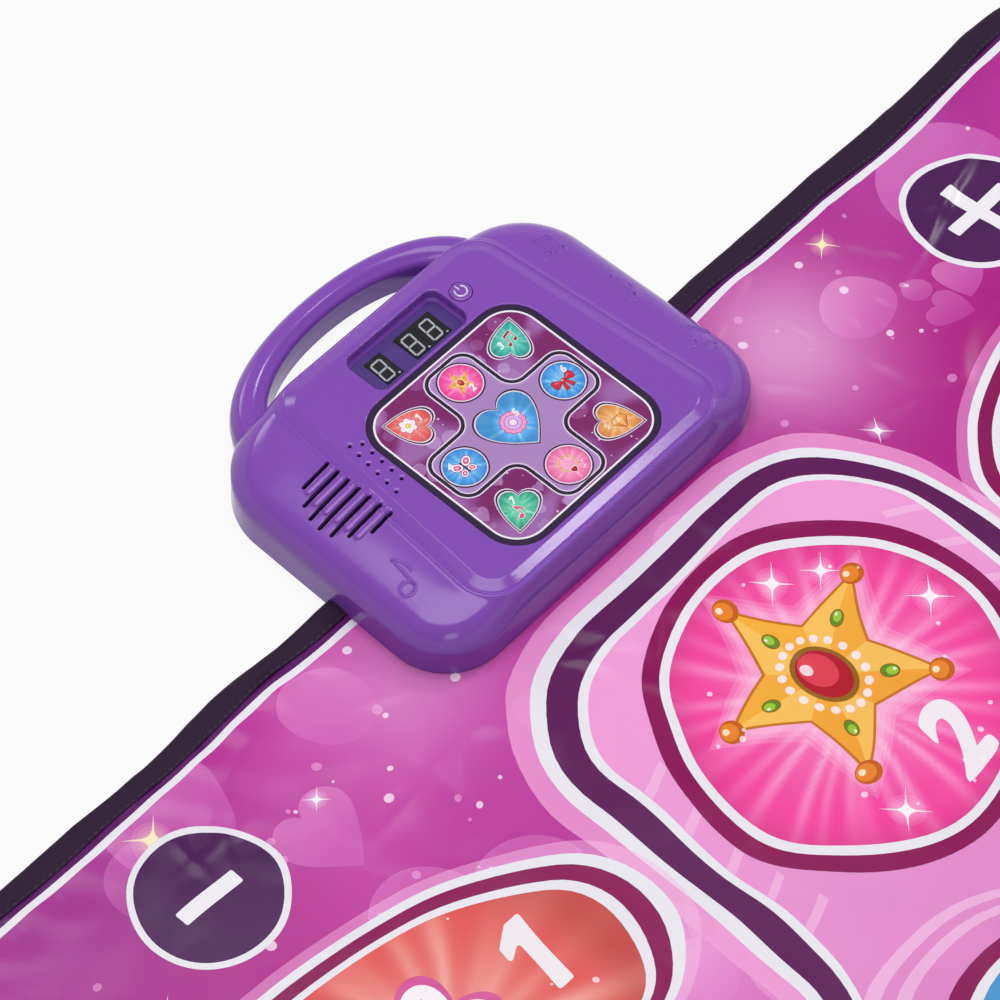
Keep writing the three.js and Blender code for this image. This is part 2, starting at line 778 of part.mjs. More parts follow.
function buildBottomCase() {
  const inset = caseWall + clearance;
  const stepY = panelToMatEdge + clearance;
  const body = solid(slab(caseOutline(inset), 0, rimHeight));
  const matSlot = slab(rectangle(-caseBeyond, caseBeyond, -caseBeyond, stepY), -overrun, bindingTop);
  const frontRoom = slab(caseOutline(inset + bottomWall), frontFloorTop, rimHeight + overrun);
  const rearRoom = solid(slab(caseOutline(inset + bottomWall), rearFloorTop, rimHeight + overrun)).intersect(
    solid(slab(rectangle(-caseBeyond, caseBeyond, stepY + bottomWall, caseBeyond), 0, rimHeight + overrun)),
  );
  const displayPosts = [];
  [-displayPostX, displayPostX].forEach((x) => {
    const near = circle(x, -displayPostNear, postRadius, 10);
    const far = circle(x, displayPostFar, postRadius, 10);
    displayPosts.push(slab(near, bindingTop, displayBoardBottom), slab(far, 0, displayBoardBottom));
  });
  const mainPosts = [];
  [mainBoardLeft + mainPostInset, mainBoardRight - mainPostInset].forEach((x) => {
    [mainBoardNear + mainPostInset, mainBoardFar - mainPostInset].forEach((y) => {
      mainPosts.push(slab(circle(x, y, mainPostRadius, 8), bindingTop, mainBoardBottom));
    });
  });
  const speakerPost = slab(
    circle(speakerX, speakerY, speakerMagnetRadius, 12),
    0,
    speakerRimTop - speakerRimThickness - speakerBasketDepth - speakerMagnetHeight,
  );
  const bayOuter = bayHalf + bayWall;
  const bay = slab(rectangle(-bayOuter, bayOuter, bayNear - bayWall, bayFar + bayWall), 0, bayHeight);
  const doorTop = doorFloorGap + doorThickness;
  const doorBoss = slab(
    rectangle(-doorBossHalfWidth, doorBossHalfWidth, bayFar, doorFar + bayWall),
    0,
    doorTop + doorBossHeight,
  );
  const tailHalf = tailWidth / 2 + clearance;
  const bore = (top) => ({ x, y }) => slab(circle(x, y, screwRadius + clearance, 8), -overrun, top + overrun);
  const sink = ({ x, y }) => slab(circle(x, y, screwHeadRadius + clearance, 12), -overrun, screwHeadTop);
  const tools = [
    slab(rectangle(-bayHalf, bayHalf, bayNear, bayFar), -overrun, bayHeight + overrun),
    slab(rectangle(-bayHalf, bayHalf, bayNear, doorFar), -overrun, doorTop + clearance),
    slab(circle(0, doorScrewY, doorScrewRadius + clearance, 8), 0, doorTop + doorScrewBite + 2 * clearance),
    slab(
      rectangle(tailX - tailHalf, tailX + tailHalf, 0, stepY + bottomWall + overrun),
      contactFilmZ - clearance,
      cushionFoamZ + clearance,
    ),
    ...clampScrewPlaces.map(bore(frontFloorTop)),
    ...caseScrewPlaces.map(bore(rearFloorTop)),
    ...caseScrewPlaces.map(sink),
    handleTube(clearance, overrun),
  ];
  let shell = cut(body, [matSlot, frontRoom]).subtract(rearRoom);
  shell = join(shell, [...displayPosts, ...mainPosts, speakerPost, bay, doorBoss]);
  place(consoleGroup, "bottom_case", geometryOf(cut(shell, tools)), purplePlastic);
}

// A screw with a flat head at headZ and its shank standing up from it
function screw(x, y, headZ, headRadius, headThickness, shankRadius, length) {
  const head = solid(slab(circle(x, y, headRadius, 12), headZ, headZ + headThickness));
  const shank = slab(circle(x, y, shankRadius, 8), headZ + headThickness / 2, headZ + headThickness + length);
  return geometryOf(join(head, [shank]));
}

function buildClampAndScrews() {
  const plate = solid(slab(clampPlateOutline(0), 0, clampPlateThickness));
  const tools = clampScrewPlaces.flatMap(({ x, y }) => [
    slab(circle(x, y, screwRadius + clearance, 8), 0, clampPlateThickness + overrun),
    slab(circle(x, y, screwHeadRadius + clearance, 12), -overrun, screwHeadTop),
  ]);
  place(consoleGroup, "clamp_plate", geometryOf(cut(plate, tools)), blackPlastic);
  const drive = (name) => ({ x, y }, k) => {
    const body = screw(x, y, screwSink, screwHeadRadius, screwHeadThickness, screwRadius, screwLength);
    place(consoleGroup, `${name}_${k + 1}`, body, steel);
  };
  clampScrewPlaces.forEach(drive("clamp_screw"));
  caseScrewPlaces.forEach(drive("case_screw"));
}

// Display window, digits, game panel and the light box under it
function buildDisplays() {
  const tray = solid(slab(windowOutline(trayWall), trayBottom, platformUnderside));
  const digitNear = digitMiddle - digitHeight / 2;
  const digitFar = digitMiddle + digitHeight / 2;
  const digits = [
    { name: "single_digit_display", middle: singleDigitMiddle, width: singleDigitWidth },
    { name: "double_digit_display", middle: doubleDigitMiddle, width: doubleDigitWidth },
  ];
  const tools = [slab(windowOutline(0), trayTopFace, platformUnderside + overrun)];
  digits.forEach(({ name, middle, width }) => {
    const left = middle - width / 2;
    const right = middle + width / 2;
    const hole = rectangle(left - clearance, right + clearance, digitNear - clearance, digitFar + clearance);
    tools.push(slab(hole, trayBottom - overrun, trayTopFace + overrun));
    const face = rectangle(left, right, digitNear, digitFar);
    const block = slab(face, displayBoardTop, displayBoardTop + digitDepth);
    place(consoleGroup, name, block, blackPlastic);
  });
  place(consoleGroup, "display_tray", geometryOf(cut(tray, tools)), darkVioletPlastic);
  place(consoleGroup, "game_panel", slab(panelOutline(clearance), panelBottom, panelTop), printedPanel);

  const cells = [];
  forEachIcon((x, y) => cells.push(circle(x, y, lightCellRadius, 16)));
  const half = lightBoxHalfWidth;
  const box = roundedRectangle(-half, half, -half, half, panelCornerRadius - panelLedge, 3);
  place(consoleGroup, "light_box", slab(box, displayBoardTop, panelBottom, cells), whitePlastic);
}

function forEachIcon(action) {
  for (let row = 0; row < 3; row++) {
    for (let column = 0; column < 3; column++) {
      action((column - 1) * iconPitch, (1 - row) * iconPitch, 3 * row + column + 1);
    }
  }
}

function led(x, y) {
  const profile = [
    new THREE.Vector2(0, 0),
    new THREE.Vector2(ledFlangeRadius, 0),
    new THREE.Vector2(ledFlangeRadius, ledFlangeThickness),
    new THREE.Vector2(ledRadius, ledFlangeThickness),
    new THREE.Vector2(ledRadius, ledHeight - ledRadius),
    new THREE.Vector2(ledRadius * Math.SQRT1_2, ledHeight - ledRadius * (1 - Math.SQRT1_2)),
    new THREE.Vector2(0, ledHeight),
  ];
  return new THREE.LatheGeometry(profile, 8).rotateX(Math.PI / 2).translate(x, y, displayBoardTop);
}

function buildBoards() {
  const displayBoard = slab(
    roundedRectangle(-displayBoardHalfWidth, displayBoardHalfWidth, -displayBoardNear, displayBoardFar,
      displayBoardCornerRadius, 2),
    displayBoardBottom,
    displayBoardTop,
  );
  place(consoleGroup, "display_board", displayBoard, circuitBoard);
  forEachIcon((x, y, number) => place(consoleGroup, `indicator_led_${number}`, led(x, y), whitePlastic));

  const mainBoard = slab(
    rectangle(mainBoardLeft, mainBoardRight, mainBoardNear, mainBoardFar), mainBoardBottom, mainBoardTop,
  );
  place(consoleGroup, "main_board", mainBoard, circuitBoard);
  const chip = new THREE.LatheGeometry(
    [
      new THREE.Vector2(0, 0),
      new THREE.Vector2(chipRadius, 0),
      new THREE.Vector2(chipRadius * chipTopShare, chipHeight * chipEdgeShare),
      new THREE.Vector2(0, chipHeight),
    ],
    12,
  ).rotateX(Math.PI / 2).translate(chipX, chipY, mainBoardTop);
  place(consoleGroup, "sound_chip", chip, blackPlastic);

  const half = switchSize / 2;
  const face = rectangle(powerX - half, powerX + half, powerY - half, powerY + half);
  const switchBody = solid(slab(face, displayBoardTop, displayBoardTop + switchHeight));
  const plunger = slab(
    circle(powerX, powerY, switchPlungerRadius, 10),
    displayBoardTop,
    displayBoardTop + switchHeight + switchPlungerHeight,
  );
  place(consoleGroup, "power_switch", geometryOf(join(switchBody, [plunger])), blackPlastic);
}

function buildPowerButton() {
  const switchTop = displayBoardTop + switchHeight + switchPlungerHeight;
  const stemBottom = switchTop + powerTravel + powerStopGap;
  const flangeTop = platformUnderside - powerFlangeGap;
  const flangeBottom = flangeTop - powerFlangeThickness;
  const flangeMiddle = (flangeTop + flangeBottom) / 2;
  const capTop = platformHeight + powerCapProud;
  const cap = solid(slab(circle(powerX, powerY, powerCapRadius, 20), flangeMiddle, capTop));
  const flange = slab(circle(powerX, powerY, powerFlangeRadius, 16), flangeBottom, flangeTop);
  const stem = slab(circle(powerX, powerY, powerStemRadius, 8), stemBottom, flangeMiddle);
  place(consoleGroup, "power_button", geometryOf(join(cap, [flange, stem])), purplePlastic);
}

// The membrane's tail: out of the mat's edge, up behind the front plate and back to its connector
function buildTail() {
  const filmMiddle = contactFilmZ + contactFilmThickness / 2;
  const connectorMiddle = mainBoardTop + connectorHeight / 2;
  const start = panelToMatEdge - sheetInset + clearance;
  const end = mainBoardFar + clearance;
  const route = [
    [start, filmMiddle],
    [tailTurnY - tailBend, filmMiddle],
    [tailTurnY, filmMiddle + tailBend],
    [tailTurnY, connectorMiddle - tailBend],
    [tailTurnY - tailBend, connectorMiddle],
    [end, connectorMiddle],
  ];
  const half = tailThickness / 2;
  const edges = [1, -1].map((side) =>
    route.map(([y, z], k) => {
      const [y0, z0] = route[Math.max(k - 1, 0)];
      const [y1, z1] = route[Math.min(k + 1, route.length - 1)];
      const along = new THREE.Vector2(y1 - y0, z1 - z0).normalize();
      return new THREE.Vector2(y - side * half * along.y, z + side * half * along.x);
    }),
  );
  const outline = [...edges[1], ...edges[0].reverse()];
  const shape = new THREE.Shape(outline);
  const strip = new THREE.ExtrudeGeometry(shape, { depth: tailWidth, bevelEnabled: false, steps: 1 });
  const standing = new THREE.Matrix4().makeBasis(
    new THREE.Vector3(0, 1, 0), new THREE.Vector3(0, 0, 1), new THREE.Vector3(1, 0, 0),
  );
  strip.applyMatrix4(standing).translate(tailX - tailWidth / 2, 0, 0);
  place(consoleGroup, "membrane_tail", strip, clearFilm);
  const wide = connectorWidth / 2;
  const foot = rectangle(tailX - wide, tailX + wide, mainBoardFar - connectorDepth, mainBoardFar);
  const connector = slab(foot, mainBoardTop, mainBoardTop + connectorHeight);
  place(consoleGroup, "tail_connector", connector, whitePlastic);
}

// Speaker: an open steel basket with its rim up, a paper cone inside it and a magnet below
function buildSpeaker() {
  const rimBottom = speakerRimTop - speakerRimThickness;
  const basketBottom = rimBottom - speakerBasketDepth;
  const turned = (profile) =>
    new THREE.LatheGeometry(profile, 16).rotateX(Math.PI / 2).translate(speakerX, speakerY, 0);
  const basket = [
    new THREE.Vector2(0, basketBottom),
    new THREE.Vector2(speakerThroatRadius + speakerSheet, basketBottom),
    new THREE.Vector2(speakerBasketRadius, rimBottom),
    new THREE.Vector2(speakerRadius, rimBottom),
    new THREE.Vector2(speakerRadius, speakerRimTop),
    new THREE.Vector2(speakerBasketRadius, speakerRimTop),
    new THREE.Vector2(speakerBasketRadius, rimBottom + speakerSheet),
    new THREE.Vector2(speakerThroatRadius, basketBottom + speakerSheet),
    new THREE.Vector2(0, basketBottom + speakerSheet),
  ];
  place(consoleGroup, "speaker_frame", turned(basket), steel);
  const coneRise = clearance + speakerSheet;
  const cone = [
    new THREE.Vector2(0, basketBottom + coneRise),
    new THREE.Vector2(speakerThroatRadius - coneRise, basketBottom + coneRise),
    new THREE.Vector2(speakerBasketRadius - clearance, rimBottom + coneRise),
    new THREE.Vector2(speakerBasketRadius - clearance, speakerRimTop),
    new THREE.Vector2(speakerBasketRadius - coneRise, speakerRimTop),
    new THREE.Vector2(speakerThroatRadius / 2, basketBottom + coneRise + speakerSheet),
    new THREE.Vector2(0, basketBottom + coneRise + speakerSheet * 2),
  ];
  place(consoleGroup, "speaker_cone", turned(cone), paperCone);
  const magnet = slab(
    circle(speakerX, speakerY, speakerMagnetRadius, 16), basketBottom - speakerMagnetHeight, basketBottom,
  );
  place(consoleGroup, "speaker_magnet", magnet, steel);
}

function buildBatteries() {
  for (let k = 0; k < batteryCount; k++) {
    const y = bayNear + doorGap + batteryPitch * (k + 1 / 2);
    const z = batteryBottom + batteryRadius;
    const sideways = k % 2 === 0 ? 1 : -1;
    const profile = [
      new THREE.Vector2(0, -batteryLength / 2),
      new THREE.Vector2(batteryRadius, -batteryLength / 2),
      new THREE.Vector2(batteryRadius, batteryLength / 2 - batteryNubLength),
      new THREE.Vector2(batteryNubRadius, batteryLength / 2 - batteryNubLength),
      new THREE.Vector2(batteryNubRadius, batteryLength / 2),
      new THREE.Vector2(0, batteryLength / 2),
    ];
    const cell = new THREE.LatheGeometry(profile, 14).rotateZ((-sideways * Math.PI) / 2).translate(0, y, z);
    place(consoleGroup, `battery_${k + 1}`, cell, batteryJacket);
  }
  const cellMiddle = batteryBottom + batteryRadius;
  [-1, 1].forEach((side) => {
    const face = side * bayHalf;
    const plateInner = face - side * (clearance + contactThickness);
    const plateOuter = face - side * clearance;
    const studTip = side * (batteryLength / 2 + clearance);
    const sorted = (a, b) => [Math.min(a, b), Math.max(a, b)];
    const [plateLeft, plateRight] = sorted(plateInner, plateOuter);
    const [studLeft, studRight] = sorted(studTip, plateInner + (side * contactThickness) / 2);
    const plate = solid(slab(
      rectangle(plateLeft, plateRight, bayNear + doorGap, bayFar - doorGap),
      cellMiddle - contactHeight / 2,
      cellMiddle + contactHeight / 2,
    ));
    const studs = [];
    for (let k = 0; k < batteryCount; k++) {
      const y = bayNear + doorGap + batteryPitch * (k + 1 / 2);
      const stud = rectangle(studLeft, studRight, y - contactStudRadius, y + contactStudRadius);
      studs.push(slab(stud, cellMiddle - contactStudRadius, cellMiddle + contactStudRadius));
    }
    const name = side < 0 ? "battery_contact_left" : "battery_contact_right";
    place(consoleGroup, name, geometryOf(join(plate, studs)), steel);
  });
}

function buildBatteryDoor() {
  const top = doorFloorGap + doorThickness;
  const half = bayHalf - doorGap;
  const headZ = doorFloorGap + doorScrewHeadThickness / 4;
  const headTop = headZ + doorScrewHeadThickness;
  const door = solid(slab(rectangle(-half, half, bayNear + doorGap, doorFar - doorGap), doorFloorGap, top));
  const tools = [
    slab(circle(0, doorScrewY, doorScrewRadius + clearance, 8), 0, top + overrun),
    slab(circle(0, doorScrewY, doorScrewHeadRadius + clearance, 10), -overrun, headTop),
  ];
  place(consoleGroup, "battery_door", geometryOf(cut(door, tools)), purplePlastic);
  const bite = top + doorScrewBite - headTop;
  const thickness = doorScrewHeadThickness;
  const body = screw(0, doorScrewY, headZ, doorScrewHeadRadius, thickness, doorScrewRadius, bite);
  place(consoleGroup, "door_screw", body, steel);
}

buildMat();
buildBinding();
buildTopCase();
buildHandle();
buildBottomCase();
buildClampAndScrews();
buildDisplays();
buildBoards();
buildPowerButton();
buildTail();
buildSpeaker();
buildBatteries();
buildBatteryDoor();

export default danceMat;
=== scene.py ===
"""The looks of an electronic dance mat: a printed floor mat with step pads, and a glossy carry console.

Every length here is in millimetres until a mesh is made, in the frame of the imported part: +X is to the
right of a player who faces the console, +Y points to the handle, +Z is up, and the floor is at 0. Places
on the mat's print and on the console are taken from the middle of the console's game panel.
"""
import math

import bpy
import numpy as np
from mathutils import Matrix, Vector
from mathutils.geometry import delaunay_2d_cdt


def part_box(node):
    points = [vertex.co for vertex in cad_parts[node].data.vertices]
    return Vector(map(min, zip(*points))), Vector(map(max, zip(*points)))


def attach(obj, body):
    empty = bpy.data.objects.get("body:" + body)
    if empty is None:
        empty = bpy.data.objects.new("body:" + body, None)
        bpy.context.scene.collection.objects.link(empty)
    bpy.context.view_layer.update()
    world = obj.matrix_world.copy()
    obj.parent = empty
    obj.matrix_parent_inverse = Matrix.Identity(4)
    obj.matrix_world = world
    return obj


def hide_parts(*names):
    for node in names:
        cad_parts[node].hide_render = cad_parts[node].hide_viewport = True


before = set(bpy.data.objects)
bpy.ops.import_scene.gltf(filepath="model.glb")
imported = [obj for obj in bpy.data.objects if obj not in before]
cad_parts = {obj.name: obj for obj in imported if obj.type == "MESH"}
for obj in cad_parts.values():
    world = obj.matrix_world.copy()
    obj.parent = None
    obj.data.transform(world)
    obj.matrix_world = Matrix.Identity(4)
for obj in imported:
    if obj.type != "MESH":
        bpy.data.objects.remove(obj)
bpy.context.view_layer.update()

bl_info = {
    "name": "Electronic dance mat",
    "version": (1, 0, 0),
    "blender": (4, 5, 0),
    "location": "3D View > Sidebar > Dance mat",
    "description": "Dresses the packed parts of an electronic dance mat with modelled pieces and materials",
    "category": "Add Mesh",
}

MM = 0.001


def middle_of(node):
    """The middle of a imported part's box in plan, in millimetres of the frame."""
    return np.array([sum(corner[axis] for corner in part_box(node)) / 2 / MM for axis in (0, 1)])


def plan_box(node):
    """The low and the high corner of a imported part's box in plan, placed from the game panel's middle."""
    return [np.array(corner[:2]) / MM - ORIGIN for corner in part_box(node)]


ORIGIN = middle_of("indicator_led_5")
LAYERS = {name: [corner.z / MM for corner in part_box(name)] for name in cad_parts}
MAT_LOW, MAT_HIGH = plan_box("edge_binding")
MAT_TOP = LAYERS["mat_cover"][1]


# Colours

def shade(colour):
    """An sRGB hex value as three shares of 0 to 1, still in sRGB."""
    return np.array([int(colour[k:k + 2], 16) for k in (1, 3, 5)]) / 255


def linear(colour):
    """A hex value, or an array of sRGB shares, as linear light: the sRGB curve's inverse."""
    share = shade(colour) if isinstance(colour, str) else np.asarray(colour, float)
    return np.where(share <= 0.04045, share / 12.92, ((share + 0.055) / 1.055) ** 2.4)


def tone(paint, points):
    """The sRGB colour of a paint at points. A paint is a hex value, a function, or a blend of two hex values
    along a line from one point to another, or out from a middle to a radius."""
    if callable(paint):
        return paint(points)
    if isinstance(paint, str):
        return shade(paint)
    first, second, start, end = paint
    if isinstance(end, float):
        share = np.linalg.norm(points - start, axis=-1) / end
    else:
        run = np.subtract(end, start)
        share = (points - start) @ run / (run @ run)
    share = np.clip(share, 0, 1)[..., None]
    return shade(first) + (shade(second) - shade(first)) * share * share * (3 - 2 * share)


def step(value, low, high):
    """0 below low, 1 above high, and 3t^2 - 2t^3 between."""
    t = np.clip((value - low) / (high - low), 0, 1)
    return t * t * (3 - 2 * t)


def unit(rows):
    """Vectors in rows, each brought to length 1."""
    return rows / np.linalg.norm(rows, axis=1)[:, None]


def even_turn(steps):
    """Evenly spaced angles of one full turn."""
    return np.linspace(0, 2 * np.pi, steps, endpoint=False)


def spokes(angle):
    """Unit vectors at angles: their cosine and sine."""
    return np.stack([np.cos(angle), np.sin(angle)], -1)


def left_of(along):
    """Directions turned a quarter to the left."""
    return np.stack([-along[:, 1], along[:, 0]], -1)


# Outlines: closed rows of points, counterclockwise

def ring(x, y, radius, steps=64):
    """A circle: cosine and sine of an even run of angles."""
    return [x, y] + radius * spokes(even_turn(steps))


def polar(reach, steps=120):
    """An outline whose distance from its middle is a function of the angle."""
    turn = even_turn(steps)
    return spokes(turn) * reach(turn)[:, None]


def grown(corners, gap):
    """Corners (x, y, radius) of an outline, moved outwards by gap, each with its radius grown alike."""
    corners = np.asarray(corners, float)
    arriving = unit(corners[:, :2] - np.roll(corners[:, :2], 1, 0))
    leaving = unit(np.roll(corners[:, :2], -1, 0) - corners[:, :2])
    cross = arriving[:, 0] * leaving[:, 1] - arriving[:, 1] * leaving[:, 0]
    shift = (arriving - leaving) / cross[:, None] * gap
    return np.column_stack([corners[:, :2] + shift, corners[:, 2] + gap])


def rounded(corners, steps=10, spacing=None):
    """An outline through corners (x, y, radius), and its outward normals: each corner's arc is turned about
    a centre on its bisector, a negative radius turns an inward corner, and straight sides are filled with
    points at about the given spacing."""
    corners = np.asarray(corners, float)
    arriving = unit(corners[:, :2] - np.roll(corners[:, :2], 1, 0))
    leaving = np.roll(arriving, -1, 0)
    turn = np.arctan2(
        arriving[:, 0] * leaving[:, 1] - arriving[:, 1] * leaving[:, 0], (arriving * leaving).sum(1)
    )
    radius = corners[:, 2]
    run = (radius * np.tan(turn / 2))[:, None]
    centre = corners[:, :2] - arriving * run + left_of(arriving) * radius[:, None]
    start = np.arctan2(-arriving[:, 0], arriving[:, 1])
    angle = start[:, None] + turn[:, None] * np.linspace(0, 1, steps + 1)
    spoke = spokes(angle)
    arcs = centre[:, None] + spoke * radius[:, None, None]
    points, normals = [], []
    for k in range(len(corners)):
        points.append(arcs[k])
        normals.append(spoke[k])
        if spacing:
            here, there = arcs[k, -1], arcs[(k + 1) % len(corners), 0]
            count = int(np.linalg.norm(there - here) / spacing)
            share = np.arange(1, count)[:, None] / max(count, 1)
            points.append(here + (there - here) * share)
            normals.append(np.repeat(spoke[k, -1:], len(share), 0))
    return np.concatenate(points), np.concatenate(normals)


def box_corners(left, right, near, far, radius):
    """Corners of a rectangle with round corners."""
    return [(left, near, radius), (right, near, radius), (right, far, radius), (left, far, radius)]


def heart(width, length, tip_reach, turn=-np.pi / 2, steps=20):
    """A heart round the origin with its tip towards turn: two round lobes, whose radius is a share of the
    width, and two flanks on quadratic curves from the lobes' sides to the tip."""
    lobe, across_share, along_share = 0.265 * width, 0.49, 0.43
    lobe_across, lobe_along = width / 2 - lobe, length - lobe
    cleft = np.pi - np.arccos(lobe_across / lobe)
    angle = cleft * (1 - np.arange(steps) / steps)
    lobes = np.stack([lobe_across + lobe * np.cos(angle), lobe_along + lobe * np.sin(angle)], -1)
    t = np.arange(steps + 1) / steps
    flank = np.stack([
        width / 2 * (1 - t) ** 2 + 2 * t * (1 - t) * width * across_share,
        lobe_along * (1 - t) ** 2 + 2 * t * (1 - t) * lobe_along * (1 - along_share),
    ], -1)
    half = np.concatenate([lobes, flank])
    whole = np.concatenate([half, (half[1:-1] * [-1, 1])[::-1]])
    reach, across = tip_reach - whole[:, 1], whole[:, 0]
    c, s = np.cos(turn), np.sin(turn)
    return np.stack([reach * c - across * s, reach * s + across * c], -1)


def capsule(start, end, radius, steps=8):
    """The outline round a line at one distance: two half circles."""
    start, end = np.asarray(start, float), np.asarray(end, float)
    along = math.atan2(*(end - start)[::-1])
    arc = spokes(np.linspace(-np.pi / 2, np.pi / 2, steps + 1) + along) * radius
    return np.concatenate([end + arc, start - arc])


def filled(loop, spacing):
    """A closed loop with points added along every edge that is longer than the spacing."""
    edge = np.roll(loop, -1, 0) - loop
    count = np.maximum(np.ceil(np.linalg.norm(edge, axis=1) / spacing).astype(int), 1)
    start = np.repeat(np.arange(len(loop)), count)
    share = (np.arange(len(start)) - np.repeat(np.cumsum(count) - count, count)) / count[start]
    return loop[start] + edge[start] * share[:, None]


def moved(points, x, y, scale=1.0, turn=0.0):
    """Points turned, scaled and shifted."""
    c, s = math.cos(turn), math.sin(turn)
    return np.asarray(points) @ np.array([[c, s], [-s, c]]) * scale + [x, y]


def crossings(x, y, loops):
    """Which points the loops hold, for points in order of y: those from which a ray to the right crosses
    their edges an odd number of times. Each edge turns over the run of points that lie level with it."""
    held = np.zeros(len(x), bool)
    for loop in loops:
        ahead = np.roll(loop, -1, 0)
        first = np.searchsorted(y, np.minimum(loop[:, 1], ahead[:, 1]))
        last = np.searchsorted(y, np.maximum(loop[:, 1], ahead[:, 1]))
        for k in np.flatnonzero(first < last):
            run = slice(first[k], last[k])
            slope = (ahead[k, 0] - loop[k, 0]) / (ahead[k, 1] - loop[k, 1])
            held[run] ^= x[run] < loop[k, 0] + (y[run] - loop[k, 1]) * slope
    return held


def cut(loop, share, times):
    """A closed loop with its corners cut off at a share of their sides, so many times over."""
    for _ in range(times):
        ahead = np.roll(loop, -1, 0)
        pair = [loop * (1 - share) + ahead * share, loop * share + ahead * (1 - share)]
        loop = np.stack(pair, 1).reshape(-1, 2)
    return loop


def heading(line):
    """Unit directions along an open line, at its points."""
    return unit(np.gradient(line, axis=0))


def inside(points, loops):
    """Which points the loops hold."""
    order = np.argsort(points[:, 1])
    held = np.zeros(len(points), bool)
    held[order] = crossings(*points[order].T, loops)
    return held


def depth_in(points, corners):
    """How far points lie inside a rounded convex outline, negative outside: the least distance to its
    straight sides, or in a corner's sector the radius less the distance to the arc's centre."""
    corners = np.asarray(corners, float)
    outward = -left_of(unit(corners[:, :2] - np.roll(corners[:, :2], 1, 0)))
    depth = np.min([(corner[:2] - points) @ normal for corner, normal in zip(corners, outward)], axis=0)
    for k, (x, y, radius) in enumerate(corners):
        first, second = outward[k], outward[(k + 1) % len(corners)]
        bisector = (first + second) / (1 + first @ second)
        spoke = points - ([x, y] - bisector * radius)
        sector = (first[0] * spoke[:, 1] - first[1] * spoke[:, 0] >= 0) & (
            spoke[:, 0] * second[1] - spoke[:, 1] * second[0] >= 0)
        depth = np.where(sector, radius - np.linalg.norm(spoke, axis=1), depth)
    return depth


# Meshes

def triangles(loops, points=(), lines=(), enclosed=False):
    """Delaunay triangles of scattered points, in which every edge of the closed loops and open lines is
    kept: their corners, and three corner numbers for each. Enclosed ones all lie within the loops."""
    rows = [*loops, *lines]
    edges, first = [], 0
    for k, row in enumerate(rows):
        edges += [(first + i, first + i + 1) for i in range(len(row) - 1)]
        if k < len(loops):
            edges.append((first + len(row) - 1, first))
        first += len(row)
    coords = np.concatenate([row for row in (*rows, points) if len(row)])
    found = delaunay_2d_cdt([Vector(p) for p in coords], edges, [], int(enclosed), 1e-4, False)
    return np.array(found[0]), np.array(found[2])


def open_edges(tris):
    """The edges of a surface that only one triangle has, as (start, end) in that triangle's direction."""
    edges = np.concatenate([tris[:, [0, 1]], tris[:, [1, 2]], tris[:, [2, 0]]])
    many = tris.max() + 1
    return edges[~np.isin(edges[:, 0] * many + edges[:, 1], edges[:, 1] * many + edges[:, 0])]


def outlines(tris):
    """The closed rows of corner numbers round a surface of triangles, its rim and its holes."""
    follow, rows = dict(open_edges(tris).tolist()), []
    while follow:
        row = [next(iter(follow))]
        while row[-1] in follow:
            row.append(follow.pop(row[-1]))
        rows.append(np.array(row[:-1]))
    return rows


def carried(points, loop, values):
    """Values of a closed loop's corners, carried to points on its edges."""
    ahead = np.roll(loop, -1, 0) - loop
    share = ((points[:, None] - loop) * ahead).sum(-1) / np.maximum((ahead ** 2).sum(-1), 1e-12)
    share = np.clip(share, 0, 1)
    near = np.linalg.norm(loop + ahead * share[..., None] - points[:, None], axis=-1).argmin(1)
    part = share[np.arange(len(points)), near][:, None]
    return values[near] * (1 - part) + np.roll(values, -1, 0)[near] * part


def compact(flat, tris):
    """The points that triangles use, and the triangles numbered anew."""
    used, index = np.unique(tris, return_inverse=True)
    return flat[used], index.reshape(-1, 3)


def plan_area(corners):
    """The area in square metres of triangles given by their corners in plan."""
    sides = corners[:, 1:] - corners[:, :1]
    doubled = np.abs(sides[:, 0, 0] * sides[:, 1, 1] - sides[:, 0, 1] * sides[:, 1, 0])
    return float(doubled.sum() / 2 * MM ** 2)


def run_along(line):
    """How far each point of a line lies along it."""
    return np.concatenate([[0], np.cumsum(np.linalg.norm(np.diff(line, axis=0), axis=1))])


def read_at(even, run, values):
    """Rows of values given at places of a run, read between them at even places."""
    return np.stack([np.interp(even, run, values[:, k]) for k in (0, 1)], -1)


def without_repeats(rows):
    """Faces whose corners all differ: a quad with one corner twice becomes a triangle, the rest go."""
    same = rows == np.roll(rows, -1, 1)
    found = [rows[same.sum(1) == 0]]
    if rows.shape[1] == 4:
        once = same.sum(1) == 1
        found.append(rows[once][~same[once]].reshape(-1, 3))
    return found


def honeycomb(low, high, spacing):
    """Points in rows over a rectangle, with every other row shifted by half the spacing."""
    rows = np.arange(low[1], high[1], spacing * math.sqrt(3) / 2)
    columns = np.arange(low[0], high[0], spacing)
    x, y = np.meshgrid(columns, rows)
    x[1::2] += spacing / 2
    return np.stack([x.ravel(), y.ravel()], -1)


def strip(rings, closed=True):
    """Quads between rows of points, (rows, around, 3): each row's points join the next row's."""
    rings = np.asarray(rings, float)
    rows, around = rings.shape[:2]
    index = np.arange(rows * around).reshape(rows, around)
    ahead = np.roll(index, -1, 1)
    quads = np.stack([index[:-1], ahead[:-1], ahead[1:], index[1:]], -1)
    if not closed:
        quads = quads[:, :-1]
    return rings.reshape(-1, 3), quads.reshape(-1, 4)


